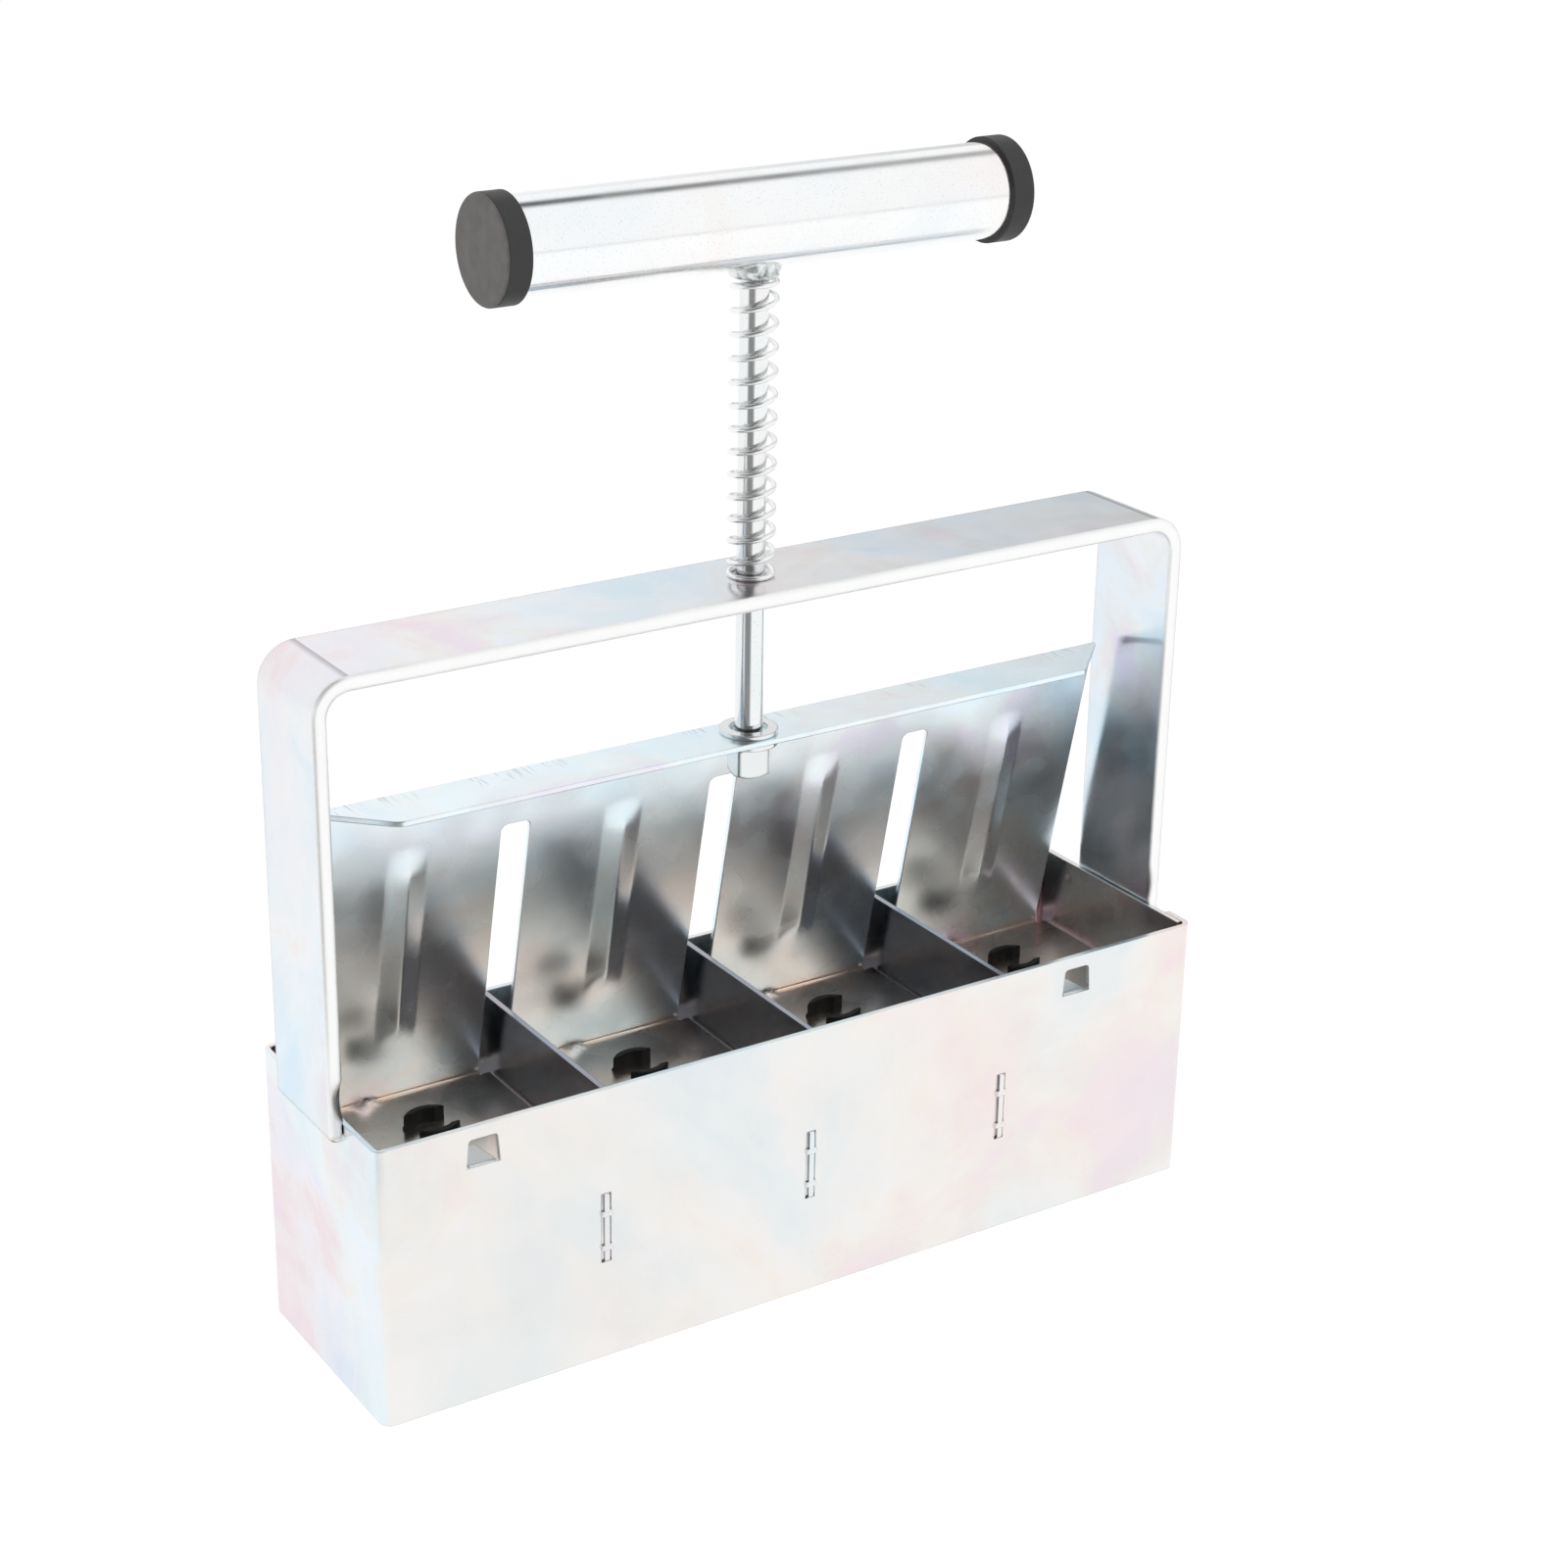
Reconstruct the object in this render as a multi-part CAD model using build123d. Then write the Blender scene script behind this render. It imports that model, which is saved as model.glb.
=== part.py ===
from build123d import *
import math
import os

# A four-cell soil blocker. Sizes are in millimetres.
# The origin is the middle of the box's open bottom, X runs along the box, the front is -Y and +Z is up.

# Mould box: one strip of sheet folded round, open above and below
cell_count = 4
cell_pitch = 50.6
box_depth = 51.1           # inside, front to back
box_height = 62.8
box_sheet = 1.2
box_bend = 1.4             # inside radius of the folded corners
lap_length = 8.2           # how far the front wall wraps on to the right end wall
lap_gap = 0.1
mark_radius = 1.1          # punch mark inside the right end wall
mark_depth = 0.25
mark_y = 15.0
mark_below_rim = 4.2

# Stop tongues, lanced out of the front wall and bent inwards
stop_places = (-78.6, 70.6)
window_below_rim = 2.8     # its upper edge
window_height = 6.4
window_width = 7.6
window_top_width = 6.6
window_round = 1.0
tongue_lift = 0.4          # its upper face, above the window's lower edge
tongue_reach = 6.9         # from the wall's inner face
tongue_width = 6.0
tongue_tip_width = 4.2
tongue_bend = 0.2          # inside radius

# Cell dividers, held by a tab at each end that goes through the wall and is staked over
divider_sheet = 1.2
tab_bottom = 22.8
tab_height = 16.0
tab_proud = 0.45
tab_play = 0.1             # slot longer than the tab, at each end
slot_width = 2.4
stake_heights = (3.4, 11.4)  # above the tab's lower end
stake_radius = 0.75

# Bridge: a flat bar bent into a U and welded outside the end walls
bar_width = 25.4
bar_thickness = 3.1
leg_inset = 0.3            # the legs' inner faces, inside the outer faces of the end walls
bridge_rise = 93.3         # its upper face, above the box's rim
bridge_bend = 5.0          # inside radius
bar_edge_round = 0.4
leg_overlap = 2.8          # the legs reach this far below the box's rim
grind_length = 10.2        # ground spot on the front inner edge of each leg
grind_above_rim = 4.9      # its middle
grind_reaches = {-1: 1.8, 1: 0.7}
rod_hole_play = 0.4        # radial
leg_seat_gap = 0.3         # the foot of the leg to the wall
weld_leg = 2.2
weld_belly_out = 0.5       # the bead's fullest point, as shares of weld_leg
weld_belly_down = 0.75
weld_end = 0.8             # the bead stops this far short of the bar's edges

# Ejector: one sheet with four floor plates, a leaning back and a top flange
ejector_sheet = 1.2
ejector_bend = 0.6         # inside radius
plate_below_rim = 17.4     # upper face
flange_rise = 76.2         # its upper face, above the plates' upper face
flange_front = 6.8         # front edge, ahead of the rod
flange_back = 7.9          # back of the top bend, behind the rod
plate_width = 48.2
plate_front_play = 1.55    # plate to the box's front wall
crease_play = 2.85         # inner crease to the box's back wall
finger_width = 43.85
finger_slot_below = 13.4   # its upper end, below the flange's upper face
finger_slot_round = 1.6
corner_cut_run = 13.2      # slanted ends of the flange
flange_left_round = 4.0
flange_right_round = 1.0
stud_hole_play = 0.2       # radial
plate_corner = 1.5
relief_radius = 0.4
rib_width = 9.2
rib_crest = 4.8            # from its left foot
rib_height = 1.0
rib_above_plate = 12.6     # its lower end
rib_below_flange = 13.6    # its upper end
rib_end = 4.0              # length of each tapered end
rib_x = 0.6                # from the middle of the finger
gusset_radius = 3.2
gusset_sink = 1.8          # how far its middle lies behind the crease
gusset_x = -5.2            # from the middle of the finger

# Seed pins, snapped into the floor plates from below
pin_hole_radius = 6.1
pin_hole_width = 9.6       # across the two flats of the hole
pin_x = 1.2                # from the middle of the finger
pin_y = 4.0
pin_leg_play = 0.1
pin_leg_wall = 1.5
pin_leg_height = 3.4       # above the plate
pin_leg_round = 0.4
pin_barb = 0.5
pin_barb_height = 1.1
pin_barb_round = 0.2
pin_disc_radius = 8.0
pin_disc_thickness = 1.6
dibble_radius = 5.0
dibble_tip_radius = 3.0
dibble_length = 8.5
dibble_round = 1.6

# Push rod and what is clamped on its lower end
rod_diameter = 6.0
stud_diameter = 4.0
stud_end_chamfer = 0.4
nut_across_flats = 7.0
nut_height = 7.0
nut_angle = 12.0
nut_corner_round = 0.5
nut_chamfer_angle = 30.0
washer_diameter = 12.5
upper_washer_hole = 8.0
upper_washer_thickness = 1.1
lower_washer_hole = 4.4
lower_washer_thickness = 1.3
washer_edge_round = 0.25
thread_play = 0.02

# Handle
handle_rise = 74.0         # middle of the tube, above the bridge
handle_diameter = 19.8
handle_wall = 1.2
handle_length = 122.0      # over the caps
cap_wall = 1.0
cap_end_wall = 1.4
cap_depth = 5.2
cap_edge_round = 0.6
rod_weld_drop = 1.9        # below the tube
rod_weld_radius = 5.6
rod_weld_low_radius = 4.4
rod_weld_round = 1.0
rod_weld_low_round = 0.6

# Return spring, standing on the bridge round the rod
spring_wire = 1.1
spring_diameter = 10.2     # outside
spring_quarters = 56       # quarter turns
spring_flat_quarters = 2   # level wire at each end
spring_ramp = 0.3          # turns in which the full pitch is reached
spring_growth = 0.10       # how much wider the top turns are than the bottom ones
spring_top_play = 0.35

# Worked out from the sizes above
box_length = cell_count * cell_pitch
wall_x = box_length / 2
wall_y = box_depth / 2
outer_x = wall_x + box_sheet
outer_y = wall_y + box_sheet
bridge_x = outer_x - leg_inset
leg_bottom = box_height - leg_overlap
bridge_top = box_height + bridge_rise
handle_height = bridge_top + handle_rise
plate_top = box_height - plate_below_rim
flange_top = plate_top + flange_rise
window_bottom = box_height - window_below_rim - window_height
cell_centres = [(i - (cell_count - 1) / 2) * cell_pitch for i in range(cell_count)]
divider_places = [(i - cell_count / 2) * cell_pitch for i in range(1, cell_count)]
rod_radius = rod_diameter / 2
handle_radius = handle_diameter / 2
flange_under = flange_top - ejector_sheet
plate_under = plate_top - ejector_sheet
nut_top = flange_under - lower_washer_thickness
nut_bottom = nut_top - nut_height
crease_y = wall_y - crease_play
plate_front_y = -wall_y + plate_front_play
weld_low = handle_height - handle_radius - rod_weld_drop


def folded_strip(points, inside_radius, thickness):
    # the outline of a folded sheet: points run along its middle line
    # each side of the sheet is that line moved by half the thickness, with its own corner radii
    def side(sign):
        moved = []
        radii = []
        count = len(points)
        for i, point in enumerate(points):
            here = Vector(*point)
            ahead = Vector(*points[min(i + 1, count - 1)]) - Vector(*points[min(i, count - 2)])
            behind = Vector(*points[max(i, 1)]) - Vector(*points[max(i - 1, 0)])
            normal_a = Vector(-ahead.Y, ahead.X).normalized()
            normal_b = Vector(-behind.Y, behind.X).normalized()
            miter = (normal_a + normal_b) / (1 + normal_a.dot(normal_b))
            place = here + miter * (sign * thickness / 2)
            moved.append((place.X, place.Y))
            if 0 < i < count - 1:
                turns_left = behind.X * ahead.Y - behind.Y * ahead.X > 0
                inner = turns_left == (sign > 0)
                radii.append(inside_radius if inner else inside_radius + thickness)
        return moved, radii

    left, left_radii = side(1)
    right, right_radii = side(-1)
    outline = left + right[::-1]
    radii = [0] + left_radii + [0, 0] + right_radii[::-1] + [0]
    return rounded_polygon(outline, radii)


def polygon(points):
    return rounded_polygon(points, [0] * len(points))


def rounded_polygon(points, radii):
    # a closed face through the points, each corner with its own radius
    edges = []
    starts = []
    ends = []
    count = len(points)
    for i in range(count):
        here = Vector(*points[i])
        to_last = (Vector(*points[i - 1]) - here).normalized()
        to_next = (Vector(*points[(i + 1) % count]) - here).normalized()
        if radii[i] > 0:
            half_angle = to_last.get_angle(to_next) / 2
            reach = radii[i] / math.tan(math.radians(half_angle))
            starts.append(here + to_last * reach)
            ends.append(here + to_next * reach)
            edges.append(Edge.make_tangent_arc(starts[i], to_last * -1, ends[i]))
        else:
            starts.append(here)
            ends.append(here)
    for i in range(count):
        edges.append(Edge.make_line(ends[i], starts[(i + 1) % count]))
    face = Face(Wire(edges))
    return face if face.normal_at().Z > 0 else -face


def make_box():
    middle_x = wall_x + box_sheet / 2
    middle_y = wall_y + box_sheet / 2
    lap_x = middle_x + box_sheet + lap_gap
    strip = folded_strip(
        [
            (middle_x, -wall_y + box_bend),
            (middle_x, middle_y),
            (-middle_x, middle_y),
            (-middle_x, -middle_y),
            (lap_x, -middle_y),
            (lap_x, -outer_y + lap_length),
        ],
        box_bend,
        box_sheet,
    )
    body = extrude(strip, amount=box_height)
    for x in divider_places:
        slot = Box(slot_width, box_depth + 4 * box_sheet, tab_height + 2 * tab_play)
        body -= Pos(x, 0, tab_bottom + tab_height / 2) * slot
    for x in stop_places:
        body -= Pos(x, 0, 0) * stop_window()
        body += Pos(x, 0, 0) * stop_tongue()
    mark_reach = mark_radius**2 / (2 * mark_depth) + mark_depth / 2
    mark_x = wall_x + mark_depth - mark_reach
    body -= Pos(mark_x, mark_y, box_height - mark_below_rim) * Rot(0, 0, 180) * Sphere(mark_reach)
    return body


def stop_window():
    top = window_bottom + window_height
    outline = rounded_polygon(
        [
            (-window_width / 2, window_bottom),
            (window_width / 2, window_bottom),
            (window_top_width / 2, top),
            (-window_top_width / 2, top),
        ],
        [0, 0, window_round, window_round],
    )
    plane = Plane(origin=(0, -wall_y + box_sheet, 0), x_dir=(1, 0, 0), z_dir=(0, -1, 0))
    return extrude(plane * outline, amount=3 * box_sheet)


def stop_tongue():
    # seen from the side the sheet climbs the wall and turns inwards; seen from above it tapers
    lowest = window_bottom - 2 * box_sheet
    shelf = window_bottom + tongue_lift - box_sheet / 2
    wall_line = -wall_y - box_sheet / 2
    tip_y = -wall_y + tongue_reach
    middle_line = [(wall_line, lowest), (wall_line, shelf), (tip_y, shelf)]
    profile = folded_strip(middle_line, tongue_bend, box_sheet)
    plane = Plane(origin=(-window_width, 0, 0), x_dir=(0, 1, 0), z_dir=(1, 0, 0))
    sheet = extrude(plane * profile, amount=2 * window_width)
    outline = rounded_polygon(
        [
            (-tongue_width / 2, -outer_y - box_sheet),
            (tongue_width / 2, -outer_y - box_sheet),
            (tongue_width / 2, -wall_y),
            (tongue_tip_width / 2, tip_y),
            (-tongue_tip_width / 2, tip_y),
            (-tongue_width / 2, -wall_y),
        ],
        [0, 0, 0, window_round, window_round, 0],
    )
    return sheet & Pos(0, 0, lowest) * extrude(outline, amount=window_height)


def make_divider(x):
    tab_middle = tab_bottom + tab_height / 2
    plate = Pos(0, 0, box_height / 2) * Box(divider_sheet, box_depth, box_height)
    tab = Box(divider_sheet, 2 * (outer_y + tab_proud), tab_height)
    body = plate + Pos(0, 0, tab_middle) * chamfer(tab.edges().filter_by(Axis.X), tab_proud)
    for side in (-1, 1):
        for height in stake_heights:
            stake = Rot(0, 90, 0) * Cylinder(stake_radius, slot_width)
            body += Pos(0, side * outer_y, tab_bottom + height) * stake
    return Pos(x, 0, 0) * body


def make_bridge():
    middle_x = bridge_x + bar_thickness / 2
    middle_z = bridge_top - bar_thickness / 2
    profile = folded_strip(
        [(-middle_x, leg_bottom), (-middle_x, middle_z), (middle_x, middle_z), (middle_x, leg_bottom)],
        bridge_bend,
        bar_thickness,
    )
    plane = Plane(origin=(0, bar_width / 2, 0), x_dir=(1, 0, 0), z_dir=(0, -1, 0))
    bar = extrude(plane * profile, amount=bar_width)
    above_feet = (leg_bottom + bar_edge_round, bridge_top + bar_edge_round)
    long_edges = bar.faces().filter_by(Axis.Y).edges().filter_by_position(Axis.Z, *above_feet)
    bar = fillet(long_edges, bar_edge_round)
    for side in (-1, 1):
        bar -= ground_spot(side)
        seat = Box(2 * (box_sheet + leg_seat_gap), 2 * bar_width, 2 * leg_overlap)
        bar -= Pos(side * wall_x, 0, leg_bottom + leg_seat_gap) * seat
    bar -= Pos(0, 0, bridge_top) * Cylinder(rod_radius + rod_hole_play, 4 * bar_thickness)
    return bar


def ground_spot(side):
    # a wheel held across the edge at 45 degrees, which takes its reach off both faces
    reach = grind_reaches[side]
    depth = reach / math.sqrt(2)
    radius = ((grind_length / 2) ** 2 + depth**2) / (2 * depth)
    out = (radius - depth) / math.sqrt(2)
    wheel = Rot(0, 0, side * 45) * Rot(90, 0, 0) * Cylinder(radius, bar_width)
    place = (side * (bridge_x - out), -bar_width / 2 - out, box_height + grind_above_rim)
    return Pos(*place) * wheel


def make_leg_weld(side):
    # a fillet bead under the foot of the leg, swollen at its two ends
    length = bar_width - 2 * weld_end
    bead = extrude(
        Plane(origin=(0, length / 2, 0), x_dir=(1, 0, 0), z_dir=(0, -1, 0))
        * rounded_polygon(
            [
                (outer_x, leg_bottom),
                (outer_x, leg_bottom - weld_leg),
                (outer_x + weld_leg * weld_belly_out, leg_bottom - weld_leg * weld_belly_down),
                (outer_x + weld_leg, leg_bottom),
            ],
            [0, 0, weld_leg / 2, 0],
        ),
        amount=length,
    )
    if side < 0:
        bead = mirror(bead, Plane.YZ)
    return bead


def ejector_lean():
    # the back leans forward so that it meets the crease below and the flange's bend above
    rise = flange_top - plate_top
    run = crease_y - flange_back
    return math.atan2(run, rise) + math.asin(ejector_sheet / math.hypot(run, rise))


def ejector_back_plane():
    # on the front face of the leaning back: X along the crease, Y up the sheet, Z out of its front
    lean = ejector_lean()
    return Plane(
        origin=(0, crease_y, plate_top),
        x_dir=(1, 0, 0),
        z_dir=(0, -math.cos(lean), -math.sin(lean)),
    )


def up_the_back(z):
    return (z - plate_top) / math.cos(ejector_lean())


def make_ejector():
    lean = ejector_lean()
    half = ejector_sheet / 2

    def middle_y(z):
        return crease_y - (z - plate_top) * math.tan(lean) + half / math.cos(lean)

    low_z = plate_top - half
    high_z = flange_top - half
    profile = folded_strip(
        [
            (plate_front_y, low_z),
            (middle_y(low_z), low_z),
            (middle_y(high_z), high_z),
            (-flange_front, high_z),
        ],
        ejector_bend,
        ejector_sheet,
    )
    end_x = cell_centres[-1] + plate_width / 2
    back_end_x = cell_centres[-1] + finger_width / 2
    plane = Plane(origin=(-end_x, 0, 0), x_dir=(0, 1, 0), z_dir=(1, 0, 0))
    body = extrude(plane * profile, amount=2 * end_x)

    back_plane = ejector_back_plane()
    below = -4 * ejector_sheet
    relief = ejector_bend + relief_radius
    for x in divider_places:
        body -= slot_cutter(back_plane, x, cell_pitch - finger_width, below, relief)
        floor_gap = Box(cell_pitch - plate_width, 2 * box_depth, 2 * box_height)
        body -= Pos(x, 0, 0) * floor_gap
    for side in (-1, 1):
        trim = polygon(
            [
                (side * back_end_x, below),
                (side * (end_x + 1), below),
                (side * (end_x + 1), 2 * box_height),
                (side * back_end_x, 2 * box_height),
            ]
        )
        body -= through_the_back(back_plane, trim, relief)
        beyond = Box(2 * box_depth, box_depth, box_height)
        body -= Pos(side * (back_end_x + box_depth), 0, flange_top) * beyond
    body -= flange_ends(back_end_x)

    notch = Pos(0, crease_y - relief, plate_top) * Cylinder(relief_radius, 4 * ejector_sheet)
    for x in cell_centres:
        for side in (-1, 1):
            body -= Pos(x + side * finger_width / 2, 0, 0) * notch
        body += make_rib(x, 0)
        body -= make_rib(x, -ejector_sheet)
        body += make_gusset(x, back_plane)
        pin_hole = Cylinder(pin_hole_radius, 4 * ejector_sheet)
        pin_hole &= Box(pin_hole_width, 4 * pin_hole_radius, 4 * ejector_sheet)
        body -= Pos(x + pin_x, pin_y, plate_top) * pin_hole
        for side in (-1, 1):
            body -= plate_corner_cutter(x, side)
    body -= Pos(0, 0, flange_top) * Cylinder(stud_diameter / 2 + stud_hole_play, 4 * ejector_sheet)
    return body


def through_the_back(back_plane, outline, relief):
    # cuts the whole sheet of the back, and the plates only as far as the relief
    behind = 2 * ejector_sheet
    return extrude(back_plane.offset(-behind) * outline, amount=behind + relief)


def slot_cutter(back_plane, x, width, low, relief):
    high = up_the_back(flange_top - finger_slot_below)
    outline = rounded_polygon(
        [(x - width / 2, low), (x + width / 2, low), (x + width / 2, high), (x - width / 2, high)],
        [0, 0, finger_slot_round, finger_slot_round],
    )
    return through_the_back(back_plane, outline, relief)


def flange_ends(end_x):
    start_y = flange_back - ejector_sheet - ejector_bend
    front_x = end_x - corner_cut_run
    keep = rounded_polygon(
        [
            (-end_x, start_y),
            (-front_x, -flange_front),
            (front_x, -flange_front),
            (end_x, start_y),
        ],
        [0, flange_left_round, flange_right_round, 0],
    )
    depth = start_y + flange_front + 1
    room = Pos(0, start_y - depth / 2, flange_top) * Box(2 * end_x + 1, depth, 4 * ejector_sheet)
    return room - Pos(0, 0, flange_top - 3 * ejector_sheet) * extrude(keep, amount=6 * ejector_sheet)


def make_rib(x, lift):
    # a pressed rib: a ridge with one steep flank, tapering into the sheet at both ends
    plane = ejector_back_plane()
    low = up_the_back(plate_top + rib_above_plate)
    high = up_the_back(flange_top - rib_below_flange)
    left = x + rib_x - rib_width / 2
    across = polygon([(left, 0), (left + rib_crest, rib_height), (left + rib_width, 0)])
    along = polygon([(low, 0), (low + rib_end, rib_height), (high - rib_end, rib_height), (high, 0)])
    origin = plane.origin + plane.z_dir * lift
    across_plane = Plane(origin=origin, x_dir=plane.x_dir, z_dir=plane.y_dir * -1)
    along_plane = Plane(
        origin=origin + plane.x_dir * (x - rib_width), x_dir=plane.y_dir, z_dir=plane.x_dir
    )
    ridge = extrude(across_plane * across, amount=-high)
    return ridge & extrude(along_plane * along, amount=2 * rib_width)


def make_gusset(x, back_plane):
    # a low dome pressed into the crease, kept to the corner in front of the back and above the plates
    inward = (back_plane.z_dir + Vector(0, 0, 1)).normalized()
    middle = Vector(x + gusset_x, crease_y, plate_top) - inward * gusset_sink
    size = 4 * gusset_radius
    floor = Pos(0, crease_y, plate_top - ejector_sheet / 2 + size / 2) * Box(2 * box_length, size, size)
    wide = polygon([(-box_length, -size), (box_length, -size), (box_length, size), (-box_length, size)])
    front = extrude(back_plane.offset(-ejector_sheet / 2) * wide, amount=size)
    return Pos(*middle) * Sphere(gusset_radius) & floor & front


def plate_corner_cutter(x, side):
    edge = x + side * plate_width / 2
    inner = edge - side * plate_corner
    square = Pos((edge + inner) / 2, plate_front_y + plate_corner / 2, plate_top) * Box(
        plate_corner, plate_corner, 4 * ejector_sheet
    )
    return square - Pos(inner, plate_front_y + plate_corner, plate_top) * Cylinder(
        plate_corner, 6 * ejector_sheet
    )


def make_seed_pin(x):
    disc = Pos(0, 0, -pin_disc_thickness / 2) * Cylinder(pin_disc_radius, pin_disc_thickness)
    dibble = Pos(0, 0, -pin_disc_thickness - dibble_length / 2) * Cone(
        dibble_tip_radius, dibble_radius, dibble_length
    )
    dibble = fillet(dibble.edges().sort_by(Axis.Z)[0], dibble_round)
    leg_radius = pin_hole_radius - pin_leg_play
    leg_top = ejector_sheet + pin_leg_height
    outline = rounded_polygon(
        [
            (leg_radius - pin_leg_wall, 0),
            (leg_radius, 0),
            (leg_radius, ejector_sheet),
            (pin_hole_radius + pin_barb, ejector_sheet),
            (leg_radius, ejector_sheet + pin_barb_height),
            (leg_radius, leg_top),
            (leg_radius - pin_leg_wall, leg_top),
        ],
        [0, 0, 0, pin_barb_round, 0, pin_leg_round, pin_leg_round / 2],
    )
    ring = revolve(Plane.XZ * outline, Axis.Z)
    width = pin_hole_width - 2 * pin_leg_play
    gap = 2 * math.sqrt(leg_radius**2 - (width / 2) ** 2)
    legs = ring & Box(width, 4 * leg_radius, 4 * leg_top)
    legs -= Box(4 * leg_radius, gap, 4 * leg_top)
    return Pos(x + pin_x, pin_y, plate_under) * (disc + dibble + legs)


def make_rod():
    shaft_length = handle_height - flange_top
    shaft = Pos(0, 0, flange_top + shaft_length / 2) * Cylinder(rod_radius, shaft_length)
    shaft -= Pos(0, 0, handle_height) * Rot(0, 90, 0) * Cylinder(handle_radius, 4 * rod_diameter)
    stud_length = flange_top - nut_bottom - 2 * stud_end_chamfer
    stud = Pos(0, 0, flange_top - stud_length / 2) * Cylinder(stud_diameter / 2, stud_length)
    stud = chamfer(stud.edges().sort_by(Axis.Z)[0], stud_end_chamfer)
    return shaft + stud


def make_nut():
    half = nut_across_flats / 2
    corner = half * math.sqrt(2)
    drop = (corner - half) * math.tan(math.radians(nut_chamfer_angle))
    turned = polygon(
        [
            (0, nut_bottom),
            (half, nut_bottom),
            (corner, nut_bottom + drop),
            (corner, nut_top - drop),
            (half, nut_top),
            (0, nut_top),
        ]
    )
    block = Box(nut_across_flats, nut_across_flats, nut_height)
    block = fillet(block.edges().filter_by(Axis.Z), nut_corner_round)
    block = Rot(0, 0, -nut_angle) * Pos(0, 0, (nut_top + nut_bottom) / 2) * block
    block = block & revolve(Plane.XZ * turned, Axis.Z)
    return block - Pos(0, 0, nut_bottom) * Cylinder(stud_diameter / 2 + thread_play, 4 * nut_height)


def make_washer(bottom, thickness, hole):
    ring = Cylinder(washer_diameter / 2, thickness) - Cylinder(hole / 2, 2 * thickness)
    outside_hole = hole / 2 + thickness / 2
    rims = ring.edges().filter_by(GeomType.CIRCLE).filter_by(lambda e: e.radius > outside_hole)
    return Pos(0, 0, bottom + thickness / 2) * fillet(rims, washer_edge_round)


def make_handle_tube():
    length = handle_length - 2 * cap_end_wall
    tube = Cylinder(handle_radius, length) - Cylinder(handle_radius - handle_wall, 2 * length)
    return Pos(0, 0, handle_height) * Rot(0, 90, 0) * tube


def make_cap(side):
    cup = Pos(0, 0, -cap_depth / 2) * Cylinder(handle_radius + cap_wall, cap_depth)
    cup = fillet(cup.edges().sort_by(Axis.Z)[-1], cap_edge_round)
    cup -= Pos(0, 0, -cap_end_wall - cap_depth / 2) * Cylinder(handle_radius, cap_depth)
    return Pos(side * handle_length / 2, 0, handle_height) * Rot(0, side * 90, 0) * cup


def make_rod_weld():
    # a collar of weld between the rod and the underside of the tube
    top = handle_height
    outline = rounded_polygon(
        [
            (rod_radius, weld_low),
            (rod_weld_low_radius, weld_low),
            (rod_weld_radius, weld_low + rod_weld_drop),
            (rod_weld_radius, top),
            (rod_radius, top),
        ],
        [0, rod_weld_low_round, rod_weld_round, 0, 0],
    )
    collar = revolve(Plane.XZ * outline, Axis.Z)
    tube = Pos(0, 0, handle_height) * Rot(0, 90, 0) * Cylinder(handle_radius, 4 * rod_weld_radius)
    return collar - tube


def spring_heights():
    # the wire's height at each quarter turn, with level ends and slowly widening turns between them
    steps = 40
    flat = spring_flat_quarters / 4
    turns = spring_quarters / 4
    heights = [0.0]
    slopes = [0.0]
    for quarter in range(spring_quarters):
        rise = 0.0
        for step in range(steps):
            turn = (quarter + (step + 0.5) / steps) / 4
            rise += spring_pitch(turn, turns, flat) / (4 * steps)
        heights.append(heights[-1] + rise)
        slopes.append(spring_pitch((quarter + 1) / 4, turns, flat))
    low = bridge_top + spring_wire / 2
    high = weld_low - spring_top_play - spring_wire / 2
    scale = (high - low) / heights[-1]
    return [low + h * scale for h in heights], [s * scale for s in slopes]


def spring_pitch(turn, turns, flat):
    from_end = min(turn, turns - turn) - flat
    share = min(max(from_end / spring_ramp, 0), 1)
    return share * (1 + spring_growth * (turn / turns - 0.5))


def spring_nodes():
    radius = (spring_diameter - spring_wire) / 2
    heights, slopes = spring_heights()
    points = []
    tangents = []
    for quarter, (height, slope) in enumerate(zip(heights, slopes)):
        angle = math.radians(90 + 90 * quarter)
        points.append(Vector(radius * math.cos(angle), radius * math.sin(angle), height))
        around = 2 * math.pi * radius
        tangents.append(Vector(-around * math.sin(angle), around * math.cos(angle), slope).normalized())
    return points, tangents


def biarc(start, start_tangent, end, end_tangent):
    # two arcs that leave along one tangent, arrive along the other and meet smoothly
    span = end - start
    both = start_tangent + end_tangent
    a = 2 * (1 - start_tangent.dot(end_tangent))
    b = span.dot(both)
    reach = (math.sqrt(b * b + a * span.dot(span)) - b) / a
    joint = (start + start_tangent * reach + end - end_tangent * reach) / 2
    first = Edge.make_tangent_arc(start, start_tangent, joint)
    second = Edge.make_tangent_arc(end, end_tangent * -1, joint)
    return [first, Edge.make_tangent_arc(joint, second.tangent_at(1) * -1, end)]


def make_spring():
    points, tangents = spring_nodes()
    arcs = []
    for i in range(len(points) - 1):
        arcs += biarc(points[i], tangents[i], points[i + 1], tangents[i + 1])
    path = Wire(arcs)
    section = Plane(origin=points[0], z_dir=tangents[0]) * Circle(spring_wire / 2)
    print("spring wire length", round(path.length, 1), "least gap to itself", round(spring_gap(path), 2))
    return sweep(section, path=path)


def spring_gap(path):
    # the least distance between one place of the wire and another more than a third of a turn along
    count = 12 * spring_quarters
    places = [path.position_at(i / count) for i in range(count + 1)]
    apart = count // (spring_quarters // 4) // 2
    least = min(
        (a - b).length for i, a in enumerate(places) for b in places[i + apart:i + 4 * apart]
    )
    return least - spring_wire


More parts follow.
